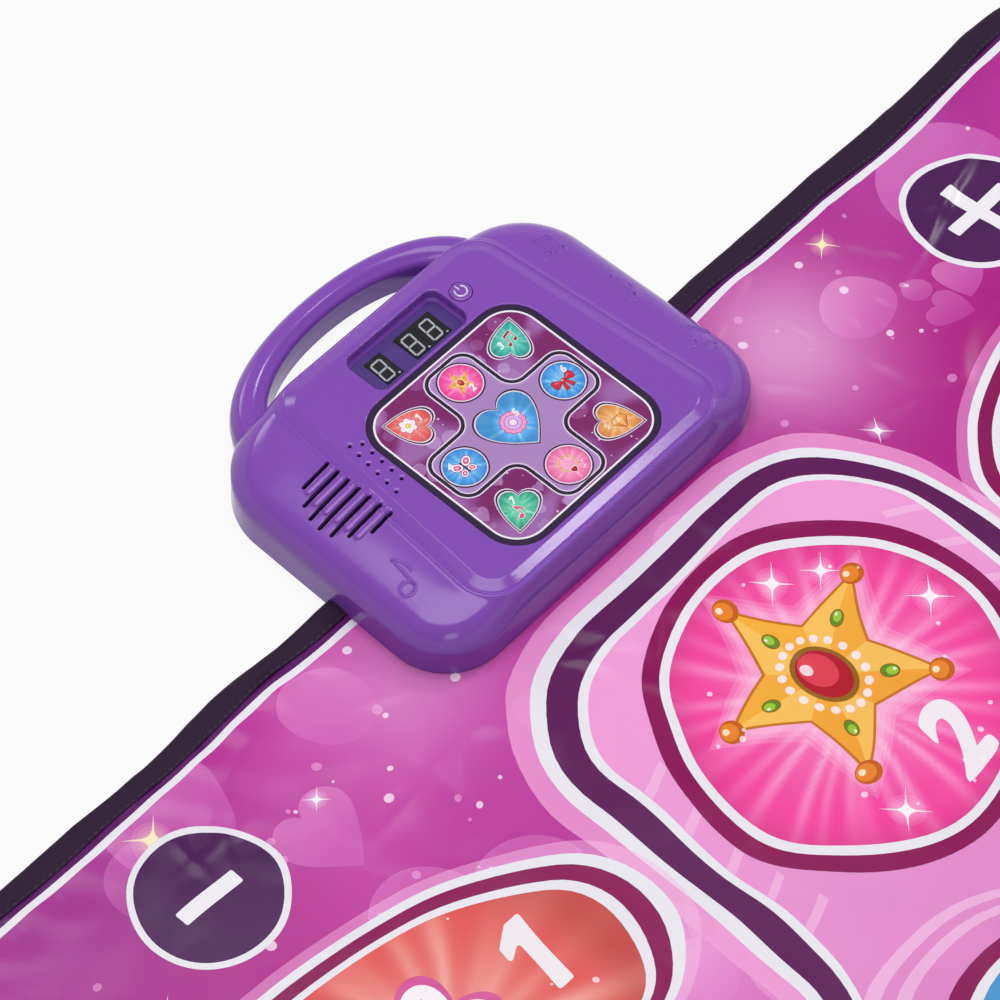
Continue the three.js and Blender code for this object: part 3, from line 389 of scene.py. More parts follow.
def tube(rings):
    """A closed skin through rings: quads between them and a fan to each end's middle."""
    rings = np.asarray(rings, float)
    points, quads = strip(rings)
    around = rings.shape[1]
    last = len(points) - around
    ahead = np.roll(np.arange(around), -1)
    low = np.stack([np.full(around, len(points)), ahead, np.arange(around)], -1)
    high = np.stack([np.full(around, len(points) + 1), last + np.arange(around), last + ahead], -1)
    points = np.concatenate([points, [rings[0].mean(0)], [rings[-1].mean(0)]])
    return points, [quads, np.concatenate([low, high])]


def joined(parts, weld=None):
    """Several (points, faces) as one, with points closer than the weld made one."""
    points, faces, first = [], [], 0
    for part_points, part_faces in parts:
        for rows in (part_faces if isinstance(part_faces, list) else [part_faces]):
            faces.append(rows + first)
        points.append(part_points)
        first += len(part_points)
    points = np.concatenate(points)
    if weld:
        _, kept, number = np.unique(
            np.round(points / weld).astype(np.int64), axis=0, return_index=True, return_inverse=True
        )
        points, faces = points[kept], [number.ravel()[rows] for rows in faces]
    return points, faces


def piece(name, points, faces, material, body="mat", slot=None, replaces=(), smooth=True):
    """A mesh piece in metres from millimetre points and rows of corner numbers, riding on a body."""
    faces = faces if isinstance(faces, list) else [faces]
    mesh = bpy.data.meshes.new(name)
    mesh.from_pydata((np.asarray(points) * MM).tolist(), [], [row for rows in faces for row in rows.tolist()])
    mesh.update()
    mesh.polygons.foreach_set("use_smooth", np.full(len(mesh.polygons), smooth))
    mesh.materials.append(material)
    made = bpy.data.objects.new(name, mesh)
    bpy.context.scene.collection.objects.link(made)
    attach(made, body)
    if replaces:
        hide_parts(*replaces)
    return made


def on_console(points):
    """Points placed from the game panel's middle, put into the frame."""
    return np.asarray(points, float) + [*ORIGIN, 0]


# The step pads' outlines on the print, placed from the game panel's middle

PITCH = middle_of("pad_6")[0]
FIRST_ROW = middle_of("pad_2")[1] - ORIGIN[1]
ROUND_RADIUS = (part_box("pad_2")[1].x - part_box("pad_2")[0].x) / 2 / MM
# Corner hearts and the middle heart by width, length and the tip's distance from the middle, then the
# round pads' radius and the points on their outline
PAD_SHAPES = ((220, 249, 134), (284, 272, 136), ROUND_RADIUS, 96)
ICON_SHAPES = ((23.6, 27, 15), (39, 37.5, 18.8), 13.2, 56)
ICON_PITCH = 41.0
MAT_CORNERS = box_corners(MAT_LOW[0], MAT_HIGH[0], MAT_LOW[1], MAT_HIGH[1], 24)
COVER_INSET = 2.6  # how far the cover's edge lies inside the binding's
VOLUME_MIDDLES = {name: middle_of(name) - ORIGIN for name in ("volume_down_pad", "volume_up_pad")}
VOLUME_RADIUS = (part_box("volume_up_pad")[1].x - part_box("volume_up_pad")[0].x) / 2 / MM


def pad_middle(number):
    """The middle of pad 1 to 9, in rows of three from the far left."""
    row, column = divmod(number - 1, 3)
    return np.array([(column - 1) * PITCH, FIRST_ROW - row * PITCH])


def outward_of(number):
    """The way from the middle pad to pad 1 to 9, in whole steps: corner pads have two parts that aren't 0."""
    row, column = divmod(number - 1, 3)
    return column - 1, 1 - row


def shaped(number, x, y, shapes, gap=0.0):
    """The outline of pad or icon 1 to 9 about a middle, grown by a gap. Corner hearts point outwards."""
    corner_heart, middle_heart, radius, steps = shapes
    across, up = outward_of(number)
    if bool(across) != bool(up):
        return ring(x, y, radius + gap, steps)
    width, length, tip = corner_heart if across else middle_heart
    turn = math.atan2(up, across) if across else -np.pi / 2
    return moved(heart(width + 2 * gap, length + 2 * gap, tip + gap, turn), x, y)


def pad_outline(number, gap=0.0):
    """The outline of pad 1 to 9, grown by a gap."""
    return shaped(number, *pad_middle(number), PAD_SHAPES, gap)


# Inks of the print: each is (outlines, paint, cover) and is laid over the ones before it

def placed(inks, x, y, scale=1.0, turn=0.0):
    """Inks moved to a place: their outlines and the points in their paints."""
    made = []
    for loops, paint, cover in inks:
        if isinstance(paint, tuple):
            first, second, start, end = paint
            start = moved(start, x, y, scale, turn)
            end = end * scale if isinstance(end, float) else moved(end, x, y, scale, turn)
            paint = (first, second, start, end)
        made.append(([moved(loop, x, y, scale, turn) for loop in loops], paint, cover))
    return made


GLYPHS = {}
LEAN = 0.18


def glyph(letter, height=1.0, weight=0.042):
    """A digit's outlines from the built-in font, thickened and leaned, its middle at the origin. Its corners
    are rounded by two rounds of corner cutting."""
    text = bpy.data.curves.new("digit", "FONT")
    text.body, text.size, text.offset, text.shear, text.fill_mode = letter, 1.0, weight, LEAN, "FRONT"
    text.resolution_u = 6
    holder = bpy.data.objects.new("digit", text)
    bpy.context.scene.collection.objects.link(holder)
    mesh = bpy.data.meshes.new_from_object(holder.evaluated_get(bpy.context.evaluated_depsgraph_get()))
    bpy.data.objects.remove(holder)
    corners = np.array([v.co[:2] for v in mesh.vertices])
    faces = [list(p.vertices) for p in mesh.polygons]
    directed = {(f[i], f[(i + 1) % len(f)]) for f in faces for i in range(len(f))}
    ahead = {a: b for a, b in directed if (b, a) not in directed}
    loops = []
    while ahead:
        here, loop = next(iter(ahead)), []
        while here in ahead:
            loop.append(here)
            here = ahead.pop(here)
        loops.append(corners[loop])
    low, high = np.min([l.min(0) for l in loops], 0), np.max([l.max(0) for l in loops], 0)
    bpy.data.meshes.remove(mesh)
    return [cut((loop - (low + high) / 2) * height / (high - low)[1], 0.2, 2) for loop in loops]


def digit_ink(letter, x, y, height, colour="#f4f0f6"):
    """A white digit. The 1 has a plain outline of its own: a leaning stem with a short flag."""
    if letter not in GLYPHS:
        one = np.array([(-0.01, -0.5), (0.21, -0.5), (0.21, 0.5), (0.01, 0.5), (-0.24, 0.32), (-0.24, 0.1),
                        (-0.01, 0.24)])
        corners = [(x + y * LEAN, y, -0.03 if k == 6 else 0.03) for k, (x, y) in enumerate(one)]
        GLYPHS[letter] = [rounded(corners, 3)[0]] if letter == "1" else glyph(letter)
    return [([moved(loop, x, y, height) for loop in GLYPHS[letter]], colour, 0.97)]


def burst(fill, ray, middle, radius, count, seed, glow=0.6):
    """A paint of light rays from a middle: the share of the ray colour follows a sum of cosines of the
    angle, raised to a power, and fades in from the middle and out at the rim, over a glow in the middle."""
    rng = np.random.default_rng(seed)
    phase = rng.uniform(0, 2 * np.pi, 3)
    order = np.array([count, count * 1.7 // 1, count * 2.3 // 1])

    def paint(points):
        spoke = points - middle
        angle = np.arctan2(spoke[..., 1], spoke[..., 0])[..., None]
        reach = np.linalg.norm(spoke, axis=-1) / radius
        wave = np.cos(angle * order + phase).mean(-1) * 0.5 + 0.5
        share = 0.85 * wave ** 2.2 * step(reach, 0.05, 0.45) * (1 - 0.55 * step(reach, 0.6, 1.0))
        share = share + glow * (1 - step(reach, 0.0, 0.85))
        tint = shade(fill) + (shade(ray) - shade(fill)) * np.clip(share, 0, 1)[..., None]
        return tint * (1 - 0.12 * step(reach, 0.75, 1.05)[..., None])
    return paint


def sparkle(x, y, size, colour="#fffaff"):
    """A four-pointed glint in a soft round glow, its points along the mat's diagonals."""
    glow = [([ring(x, y, size * share, 20)], colour, 0.14) for share in (0.7, 0.54, 0.4, 0.28, 0.18)]
    star = polar(lambda a: size * (np.abs(np.cos(a)) ** 0.36 + np.abs(np.sin(a)) ** 0.36) ** (-1 / 0.36), 64)
    return [*glow, ([moved(star, x, y, 1.0, 0.76)], colour, 0.92)]


def ball(x, y, radius, dark, light):
    """A round bead: a dark disc, a lighter one and a glint."""
    glint = ring(x - 0.3 * radius, y + 0.35 * radius, radius * 0.28, 12)
    return [
        ([ring(x, y, radius, 24)], dark, 1.0),
        ([ring(x - 0.12 * radius, y + 0.12 * radius, radius * 0.74, 20)], light, 0.9),
        ([glint], "#fff6e0", 0.85),
    ]


def gem(x, y, width, height, dark, light, turn=0.0):
    """An oval stone: rim, body and a glint."""
    oval = ring(0, 0, 1, 28) * [width / 2, height / 2]
    return [
        ([moved(oval, x, y, 1.0, turn)], "#8a5a10", 0.9),
        ([moved(oval * 0.84, x, y, 1.0, turn)], dark, 1.0),
        ([moved(oval * 0.6 + [0, height * 0.1], x, y, 1.0, turn)], light, 0.85),
        ([moved(oval * 0.2 + [-width * 0.12, height * 0.22], x, y, 1.0, turn)], "#ffffff", 0.8),
    ]


def star_outline(points, outer, inner, turn=np.pi / 2):
    """A star with straight sides between outer and inner points."""
    order = np.arange(2 * points)
    return spokes(turn + order * np.pi / points) * np.where(order % 2 == 0, outer, inner)[:, None]


# The pads' pictures, each about the size of a unit circle round the origin

def flower_picture():
    """A six-petalled flower with a vein in each petal."""
    inks = []
    for share, colour in ((1.06, "#d8559b"), (0.94, "#fbf3f8")):
        petals = polar(lambda a: share * (0.58 + 0.26 * np.abs(np.cos(3 * a))))
        inks.append(([petals], colour, 1.0))
    for way in spokes(np.arange(6) * np.pi / 3):
        inks.append(([capsule(0.3 * way, 0.62 * way, 0.018, 3)], "#eab6d2", 0.9))
    return inks + [([ring(0, 0, 0.25, 40)], "#c7862a", 1.0), ([ring(0, 0, 0.2, 36)], "#f7d64b", 1.0),
                   ([ring(-0.05, 0.06, 0.09, 20)], "#fff3b0", 0.8)]


def star_picture():
    """A faceted star with beads at its points, stones on its arms and a large one in the middle."""
    outline = star_outline(5, 0.86, 0.42)
    inks = [([star_outline(5, 1.0 + grow, 0.5 + grow)], "#ffe3f3", 0.2) for grow in (0.12, 0.07, 0.02)]
    inks.append(([outline * 1.06], "#c9741a", 1.0))
    inks.append(([outline], ("#f8b33c", "#f3a233", (0.0, 0.8), (0.0, -0.8)), 1.0))
    for k in range(5):
        a, b = outline[2 * k], outline[(2 * k + 1) % 10]
        facet = np.array([[0.0, 0.0], b, a])[::-1]
        inks.append(([facet], "#fcca68", 0.75))
    for x, y in outline[::2] * 1.03:
        inks += ball(x, y, 0.1, "#c95f12", "#f08a2c")
    for x, y in outline[::2] * 0.56:
        inks += gem(x, y, 0.11, 0.16, "#5b8f1c", "#a8d13c", math.atan2(y, x) - np.pi / 2)
    inks += [([ring(0.27 * math.cos(a), 0.34 * math.sin(a), 0.036, 8)], "#ffe9ee", 0.95)
             for a in even_turn(18)]
    return inks + gem(0, 0, 0.4, 0.54, "#b3122a", "#e8455a")


def notes_picture():
    """Two music notes under one beam."""
    inks = []
    for grow, colour in ((0.035, "#fff0f2"), (0.0, "#a51d2d")):
        heads = [moved(ring(0, 0, 1, 28) * [0.2 + grow, 0.15 + grow], x, y, 1.0, 0.35)
                 for x, y in ((-0.5, -0.55), (0.28, -0.4))]
        stems = [capsule((x, low), (x, high), 0.045 + grow)
                 for x, low, high in ((-0.34, -0.5, 0.45), (0.44, -0.35, 0.62))]
        beam = np.array([[-0.38 - grow, 0.3 - grow], [0.48 + grow, 0.47 - grow],
                         [0.48 + grow, 0.7 + grow], [-0.38 - grow, 0.53 + grow]])
        inks += [([loop], colour, 1.0) for loop in (*heads, *stems, beam)]
    return inks


def butterfly_picture():
    """Four oval wings and a body."""
    inks = []
    for side in (1, -1):
        for x, y, w, h, turn in ((0.42, 0.28, 0.46, 0.34, 0.6), (0.34, -0.36, 0.34, 0.26, -0.7)):
            wing = ring(0, 0, 1, 40) * [w, h]
            for share, colour in ((1.0, "#7a1c5c"), (0.88, "#f5f2fa"), (0.6, "#ef3f86"), (0.28, "#ffc9df")):
                loop = moved(wing * share, x, y, 1.0, turn)
                inks.append(([loop * [side, 1]], colour, 1.0))
    return inks + [([capsule((0, -0.5), (0, 0.42), 0.06)], "#4b1740", 1.0)]


def rosette_picture():
    """Three ruffled rings, one in the other."""
    inks = []
    for share, colour, order in ((1.0, "#b9479f", 12), (0.93, "#f49fd0", 12), (0.66, "#c65fc0", 10),
                                 (0.6, "#d9b6f2", 10), (0.34, "#b9479f", 8), (0.28, "#fbe4f4", 8)):
        petals = polar(lambda a: share * (0.86 + 0.1 * np.abs(np.sin(order * a / 2))), 144)
        inks.append(([petals], colour, 1.0))
    return inks


def bow_picture():
    """A ribbon tied in a bow."""
    inks = []
    tail = np.array([[0.02, -0.1], [0.12, -0.84], [0.3, -0.66], [0.5, -0.78], [0.2, -0.02]])
    wing = np.array([[0.08, 0.0], [0.62, 0.42], [0.86, 0.3], [0.9, -0.18], [0.66, -0.32]])
    fold = np.array([[0.16, 0.02], [0.6, 0.26], [0.66, 0.12]])
    for grow, colour in ((0.05, "#5d0d1f"), (0.0, "#d3213f")):
        for side in (1, -1):
            for loop in (tail, wing):
                inks.append(([swollen((loop * [side, 1])[::side], grow)], colour, 1.0))
    inks += [([fold * [side, 1]], "#f0718a", 0.8) for side in (1, -1)]
    return inks + ball(0, 0.0, 0.2, "#8e0f28", "#e0405c")


def swollen(loop, grow):
    """A loop moved away from its middle by grow, its corners cut round."""
    return cut(loop + unit(loop - loop.mean(0)) * grow, 0.22, 3)


def quaver_picture():
    """One music note with a flag."""
    inks = []
    tail = np.array([[0.3, 0.42], [0.54, 0.08], [0.4, -0.22], [0.36, 0.06], [0.05, 0.3], [0.03, 0.7]])
    for grow, colour in ((0.05, "#fff4fa"), (0.0, "#e0568e")):
        head = moved(ring(0, 0, 1, 32) * [0.27 + grow, 0.2 + grow], -0.2, -0.5, 1.0, 0.35)
        stem = capsule((0.03, -0.45), (0.03, 0.66), 0.055 + grow)
        inks += [([loop], colour, 1.0) for loop in (head, stem, swollen(tail, grow))]
    return inks


def beads_picture():
    """A ring of beads with a heart on it."""
    inks = []
    for x, y in ring(0, 0.1, 0.62, 22):
        inks += ball(x, y, 0.075, "#b9862c", "#f6d878")
    small = heart(0.46, 0.46, 0.24)
    for share, colour in ((1.2, "#fdf0f4"), (1.0, "#a51f38")):
        inks.append(([moved(small * share, 0, -0.56)], colour, 1.0))
    return inks


def stone_picture():
    """A cut stone seen from its side, with four facets."""
    outline = np.array([[0.0, -0.82], [0.8, 0.1], [0.46, 0.58], [-0.46, 0.58], [-0.8, 0.1]])
    inks = [([outline * 1.08], "#7a3408", 1.0)]
    inks.append(([outline], ("#f6b25a", "#d4661c", (0.0, 0.6), (0.0, -0.8)), 1.0))
    facets = [([[-0.8, 0.1], [-0.3, 0.1], [-0.46, 0.58]], "#fbd59a"),
              ([[-0.3, 0.1], [0.3, 0.1], [0.0, 0.58]], "#ffe9c4"),
              ([[0.3, 0.1], [0.8, 0.1], [0.46, 0.58]], "#f0a04c"),
              ([[-0.3, 0.1], [0.0, -0.82], [0.3, 0.1]], "#fbc67c")]
    return inks + [([np.array(points)], colour, 0.85) for points, colour in facets]


PICTURES = [flower_picture, star_picture, notes_picture, butterfly_picture, rosette_picture, bow_picture,
            quaver_picture, beads_picture, stone_picture]
# Each pad's fill and ray colours, and where its digit stands, as shares of the pad's size
PAD_FILLS = [
    ("#e45452", "#f7b3ab", (0.66, 0.09)),
    ("#f5409c", "#ffb0d8", (0.192, -0.592)),
    ("#1fa595", "#a6ecd9", (-0.62, 0.12)),
    ("#2f8fe0", "#b3e4ff", (-0.5, 0.5)),
    ("#3fa0ea", "#cfe9ff", (0.52, 0.42)),
    ("#2f8fe0", "#b3e4ff", (0.5, 0.5)),
    ("#27a783", "#a9efcf", (0.2, 0.6)),
    ("#f06aa8", "#ffd3e4", (0.55, -0.5)),
    ("#e08a3c", "#ffdcae", (-0.6, 0.2)),
]
DARK_RING = "#8c0a57"
WHITE_INK = "#ece9f1"
PANEL_WHITE = "#f2edf6"
PANEL_DARK = "#25093a"


def pad_inks(number):
    """A step pad's print: glow and white line round a heart, a dark ring, a white one, rays and a picture."""
    fill, ray, at = PAD_FILLS[number - 1]
    middle, way = pad_middle(number), outward_of(number)
    corner = all(way)
    inks = []
    if corner:
        inks += [([pad_outline(number, 15)], "#f7bfe6", 0.5), ([pad_outline(number, 7)], WHITE_INK, 1.0)]
    inks.append(([pad_outline(number)], DARK_RING, 1.0))
    inks.append(([pad_outline(number, -9.6)], WHITE_INK, 1.0))
    radius = ROUND_RADIUS - 17
    seat = middle + (0, 12) if number == 5 else middle
    rays = 17 if number == 2 else 9
    inks.append(([pad_outline(number, -15.2)], burst(fill, ray, seat, radius * 1.1, rays, number), 1.0))
    if number == 2:
        inks += placed(PICTURES[1](), *(seat + (2, 16)), 74.0, 0.14)
    elif number == 5:
        inks += placed(PICTURES[4](), *(seat + (0, -8)), 70.0)
    else:
        out = np.array(way) * (6 if corner else 0)
        inks += placed(PICTURES[number - 1](), *(seat + out), 52.0 if corner else 64.0)
    inks += digit_ink(str(number), *(seat + np.array(at) * 104), 49.0 if number == 1 else 46.0)
    rng = np.random.default_rng(40 + number)
    turn, reach = rng.uniform(0, 2 * np.pi, 16), rng.uniform(60, 86, 16)
    dots = seat + spokes(turn) * reach[:, None]
    inks.append(([ring(x, y, r, 8) for (x, y), r in zip(dots, rng.uniform(0.7, 2.2, 16))], "#fff0fa", 0.75))
    for angle in rng.uniform(0, 2 * np.pi, 4):
        inks += sparkle(*(seat + 78 * spokes(angle)), rng.uniform(9, 15))
    return inks


def cross_corners(half, reach, outer, inner):
    """Corners of a cross of two arms, round its own middle: twelve, every third one inward."""
    quarter = [(half, -reach, outer), (half, -half, -inner), (reach, -half, outer)]
    turns = [(1, 0), (0, 1), (-1, 0), (0, -1)]
    return [(x * c - y * s, x * s + y * c, r) for c, s in turns for x, y, r in quarter]


CROSS_MIDDLE = pad_middle(5)
# The pale stripes of a cross's arm, in two rows of five: across, first and pitch along, and their slope
STRIPES = ((-114.0, 335.0, 29.2, 0.5), (113.0, 345.0, 31.0, -0.69))


def cross_inks():
    """The band that ties the middle pads together: a pale glow, and a dark line between two white ones."""
    corners = [(x + CROSS_MIDDLE[0], y + CROSS_MIDDLE[1], r) for x, y, r in cross_corners(133, 420, 74, 66)]

    def line(gap):
        return rounded(grown(corners, gap), 14)[0]
    inks = [([line(25.4)], "#f2a2d8", 0.8), ([line(14.5)], WHITE_INK, 1.0), ([line(7.2)], "#5f1658", 1.0),
            ([line(-7.2)], WHITE_INK, 1.0)]
    inside_paint = ("#f3a0da", "#df86c8", CROSS_MIDDLE + (0, 420), CROSS_MIDDLE + (0, 40))
    inks.append(([line(-12)], inside_paint, 1.0))
    for arm in range(4):
        for x, first, pitch, slope in STRIPES:
            for k in range(5):
                run, y = 12.0 * (1 - 0.25 * (k % 2)), first - pitch * k
                ends = np.clip([x - run, x + run], -120.6, 120.6)
                low = y + slope * (ends - x) - 3
                stripe = np.array([*zip(ends, low), *zip(ends[::-1], low[::-1] + 6)])
                inks.append(([moved(stripe, *CROSS_MIDDLE, 1.0, arm * np.pi / 2)], "#f7c3e6", 0.6))
    for gap, width in ((16, 7), (30, 8)):
        inks += [([pad_outline(5, gap + width), pad_outline(5, gap)[::-1]], "#f9c9ea", 0.65)]
    return inks


def backdrop_inks():
    """Pale see-through circles and hearts, and small dots, scattered over the print."""
    rng = np.random.default_rng(11)
    inks, low, high = [], MAT_LOW + 30, MAT_HIGH - 30
    for k in range(120):
        x, y = rng.uniform(low, high)
        size = rng.uniform(14, 66)
        # Circles stay small along the console's near side, so that the ground's painted shade of the console
        # stays dark, and round the deep magenta cloud right of it
        if (abs(x) < 190 and -195 < y < 0) or math.hypot(x - 235, y + 115) < 80:
            size *= 0.4
        if k % 3 == 0:
            loop = moved(heart(2.1 * size, 2.05 * size, size, rng.uniform(-2.2, -0.9)), x, y)
        else:
            loop = ring(x, y, size, 56)
        paint = ("#f6b2e3", "#dd74c6", np.array([x, y + size]), np.array([x, y - size]))
        inks.append(([loop], paint, rng.uniform(0.15, 0.5)))
    places, sizes = rng.uniform(low, high, (520, 2)), rng.uniform(0.8, 3.2, 520)
    dots = [ring(x, y, size, 10) for (x, y), size in zip(places, sizes)]
    inks.append((dots[:200], "#fbe3f6", 0.85))
    inks.append((dots[200:], "#f3b2e2", 0.55))
    for k, (x, y) in enumerate(rng.uniform(low, high, (30, 2))):
        inks += sparkle(x, y, rng.uniform(7, 17), "#fff3c4" if k % 4 == 0 else "#fffaff")
    return inks


def border_inks():
    """The thin plum line and the white line that follow the binding."""
    def line(gap):
        return rounded(grown(MAT_CORNERS, -gap), 8, 12)[0]
    return [([line(0.0), line(18.8)[::-1]], "#5c1763", 1.0), ([line(18.8), line(23.4)[::-1]], WHITE_INK, 1.0)]


def volume_inks():
    """The two small round pads: a white ring, a dark disc, and a minus or a plus of rounded bars."""
    inks = []
    for name, (x, y) in VOLUME_MIDDLES.items():
        for inset, colour in ((0, WHITE_INK), (4, "#4d1c57")):
            inks.append(([ring(x, y, VOLUME_RADIUS - inset, 72)], colour, 1.0))
        bars = [(20.5, 4.6)] if name == "volume_down_pad" else [(24, 4.6), (4.6, 24)]
        for across, up in bars:
            bar = rounded(box_corners(x - across, x + across, y - up, y + up, 1.2), 4)[0]
            inks.append(([bar], "#f1eef4", 1.0))
    return inks


def ground(points):
    """The print's ground: magentas and violets blended by slow waves, paler or deeper in placed and seeded
    clouds; the deep cloud along the console's near wall is painted shade.
    """
    flat = points.reshape(-1, 2)
    rng = np.random.default_rng(5)
    low, high = waves(flat, rng, 7, 420, 0.4), waves(flat, rng, 7, 260, 0.4)
    colour = shade("#c52c96") + (shade("#a51b87") - shade("#c52c96")) * step(low, -0.8, 0.9)[:, None]
    colour = colour + (shade("#de7cc6") - colour) * 0.4 * step(high, 0.1, 1.4)[:, None]
    # The deep magenta cloud at (-40, -100), along the console's near wall, is painted shade of the console on
    # the mat
    clouds = [(235, -115, 95, "#ad0c74", 0.85), (-118, -70, 45, "#bb1488", 0.8),
              (-40, -100, 140, "#b00c80", 0.95), (-210, -120, 80, "#d150ae", 0.4),
              (-330, -20, 120, "#a8359b", 0.5), (330, -20, 110, "#b445a6", 0.5),
              (-400, -120, 90, "#b33f9d", 0.5)]
    for count, least, most, cover, tints in (
            (18, 60, 150, 0.5, ["#d976c2", "#a3107a", "#c23aa4"]), (16, 18, 60, 0.35, ["#f8dff2"])):
        places, sizes = rng.uniform(MAT_LOW, MAT_HIGH, (count, 2)), rng.uniform(least, most, count)
        clouds += [(*places[k], sizes[k], tints[k % len(tints)], cover) for k in range(count)]
    clouds += [(168, -60, 70, "#ecb6df", 0.8), (-386, -30, 80, "#952a88", 0.55)]
    for x, y, radius, tint, most in clouds:
        share = most * np.exp(-((flat[:, 0] - x) ** 2 + (flat[:, 1] - y) ** 2) / radius ** 2)
        colour = colour + (shade(tint) - colour) * share[:, None]
    return colour.reshape(*points.shape[:-1], 3)


def waves(points, rng, count, length, spread):
    """A sum of sine waves of seeded directions, lengths and phases, of about unit size."""
    angle = rng.uniform(0, 2 * np.pi, count)
    lengths = length * rng.uniform(1 - spread, 1 + spread, count)
    phase = rng.uniform(0, 2 * np.pi, count)
    along = points @ np.stack([np.cos(angle), np.sin(angle)]) * 2 * np.pi / lengths + phase
    return np.sin(along).sum(-1) * math.sqrt(2 / count)


def composed(corners, base, inks):
    """The sRGB colour at each triangle's corners, (triangles, 3, 2): the base, and over it each ink whose
    outlines hold the triangle's middle, in order."""
    order = np.argsort(corners.mean(1)[:, 1])
    x, y = corners.mean(1)[order].T
    colour = base(corners)
    for loops, paint, cover in inks:
        held = order[crossings(x, y, loops)]
        if len(held):
            colour[held] += (tone(paint, corners[held]) - colour[held]) * cover
    return colour


# The case's outlines, placed from the game panel's middle

CASE = [(-141, -81, 38), (136, -81, 38), (131.5, 116.5, 48), (-136.5, 116.5, 48)]
PLATFORM = [(-90, -66, 13), (90, -66, 13), (76.5, 102.5, 13), (-76.5, 102.5, 13)]
PANEL = box_corners(-66.5, 66.5, -64.5, 65.5, 24)
WINDOW = box_corners(-36, 38, 68, 99.5, 7)
POWER = np.array([47.0, 84.7])
MAT_EDGE = MAT_HIGH[1]
PLATFORM_TOP = LAYERS["top_case"][1]


# How the mat lies

def creases(points, rng, count, low, high, length, width, height):
    """Seeded soft folds: each is a ridge whose height falls as a bell curve across it and to its ends."""
    rise = np.zeros(len(points))
    middles = rng.uniform(low, high, (count, 2))
    for (x, y), angle in zip(middles, rng.uniform(0, np.pi, count)):
        along = (points[:, 0] - x) * math.cos(angle) + (points[:, 1] - y) * math.sin(angle)
        across = (points[:, 1] - y) * math.cos(angle) - (points[:, 0] - x) * math.sin(angle)
        across = across + along ** 2 * rng.uniform(-0.002, 0.002)
        run, wide = rng.uniform(0.6, 1.4) * length, rng.uniform(0.6, 1.5) * width
        rise += rng.uniform(-0.6, 1.0) * height * np.exp(-(across / wide) ** 2 - (along / run) ** 2)
    return rise


def relief(points):
    """How far the printed skin stands above its flat place: slow swells, soft folds and fine puckers,
    gone under the console's clamp and at the binding."""
    rng = np.random.default_rng(3)
    rise = 0.45 + 0.3 * waves(points, rng, 6, 210, 0.4) + 0.12 * waves(points, rng, 6, 46, 0.4)
    rise += creases(points, rng, 90, MAT_LOW, MAT_HIGH, 60, 9, 1.1)
    rise += creases(points, rng, 16, (125, -150), (330, 0), 38, 7, 2.2)
    rise += creases(points, rng, 10, (-330, -120), (-125, 0), 34, 7, 1.0)
    rise += creases(points, rng, 10, (-150, -150), (170, -85), 34, 6, 1.0)
    rise += creases(points, rng, 34, (140, -150), (330, 5), 20, 4.0, 1.5)
    rise += creases(points, rng, 14, (-330, -120), (-140, 5), 20, 4.0, 0.9)
    rise += creases(points, rng, 16, (-140, -160), (170, -90), 20, 4.0, 0.9)
    away = -depth_in(points, CASE)
    edge = np.minimum(points - MAT_LOW, MAT_HIGH - points).min(1)
    pucker = 0.5 * waves(points, rng, 5, 34, 0.3) * (1 - step(edge, 16, 60))
    free = step(away, -6, 16) * step(edge, 13, 24)
    return np.clip(rise + pucker, -0.2, 3.2).clip(0) * free


def slack(points):
    """How far the sheets have crept sideways: shifts round pad 2 and the small discs, a stretch of pad 2
    along the mat's diagonal, and slow waves along the edges and over the loose mat."""
    shift = np.zeros((len(points), 2))
    for middle, near, far, way in (
            (pad_middle(2) + (10, -5), 108, 205, (9.5, -5.5)),
            (VOLUME_MIDDLES["volume_down_pad"], 46, 100, (3.3, 0.0)),
            (VOLUME_MIDDLES["volume_up_pad"], 46, 100, (1.0, -4.4))):
        pull = 1 - step(np.linalg.norm(points - middle, axis=1), near, far)
        shift += pull[:, None] * np.array(way)
    diagonal, spoke = np.array([0.753, 0.658]), points - pad_middle(2)
    pull = (1 - step(np.linalg.norm(spoke, axis=1), 112, 190)) * (spoke @ diagonal * 0.045 + 1.2)
    shift += pull[:, None] * diagonal
    rng = np.random.default_rng(8)
    edge = np.minimum(points - MAT_LOW, MAT_HIGH - points).min(1)
    away = -depth_in(points, CASE)
    loose = 1.3 * (1 - step(edge, 20, 90)) * step(away, 0, 60)
    for length, share in ((130, loose), (95, 1.1 * step(edge, 20, 45) * step(away, 0, 25))):
        drift = np.stack([waves(points, rng, 5, length, 0.5), waves(points, rng, 5, length, 0.5)], -1)
        shift += drift * share[:, None]
    return shift


def laid(points, height, rise=1.0):
    """Flat points of a sheet put where they lie, at a height, with a share of the relief."""
    where = points + slack(points)
    lift = relief(points) * rise if rise else np.zeros(len(points))
    return np.column_stack([where + ORIGIN, height + lift])


def leaning(height, points, reach, rise=1.0):
    """Unit normals of a height field, from a share of its slopes over a short way."""
    slopes = [(height(points + way) - height(points - way)) / (2 * reach) * rise
              for way in ((reach, 0), (0, reach))]
    return unit(np.column_stack([-slopes[0], -slopes[1], np.ones(len(points))]))


def closed_sheet(name, up, thickness, tris, material, colours, plain, **facts):
    """A sheet's piece, and the start and end of each of its rim's edges: the triangles on top, the same
    turned over below, and quads between. The top is coloured corner by corner, the rest in a plain grey."""
    count = len(up)
    start, end = open_edges(tris).T
    quads = np.stack([start, start + count, end + count, end], -1)
    points = np.concatenate([up, up - [0, 0, thickness]])
    made = piece(name, points, [tris, tris[:, ::-1] + count, quads], material, **facts)
    if colours is not None:
        grey = np.full((len(tris) * 3 + len(quads) * 4, 3), plain)
        shown = np.concatenate([linear(colours).reshape(-1, 3), grey])
        shown = np.column_stack([shown, np.ones(len(shown))]).astype(np.float32)
        layer = made.data.color_attributes.new("ink", "FLOAT_COLOR", "CORNER")
        layer.data.foreach_set("color", shown.ravel())
    return made, start, end


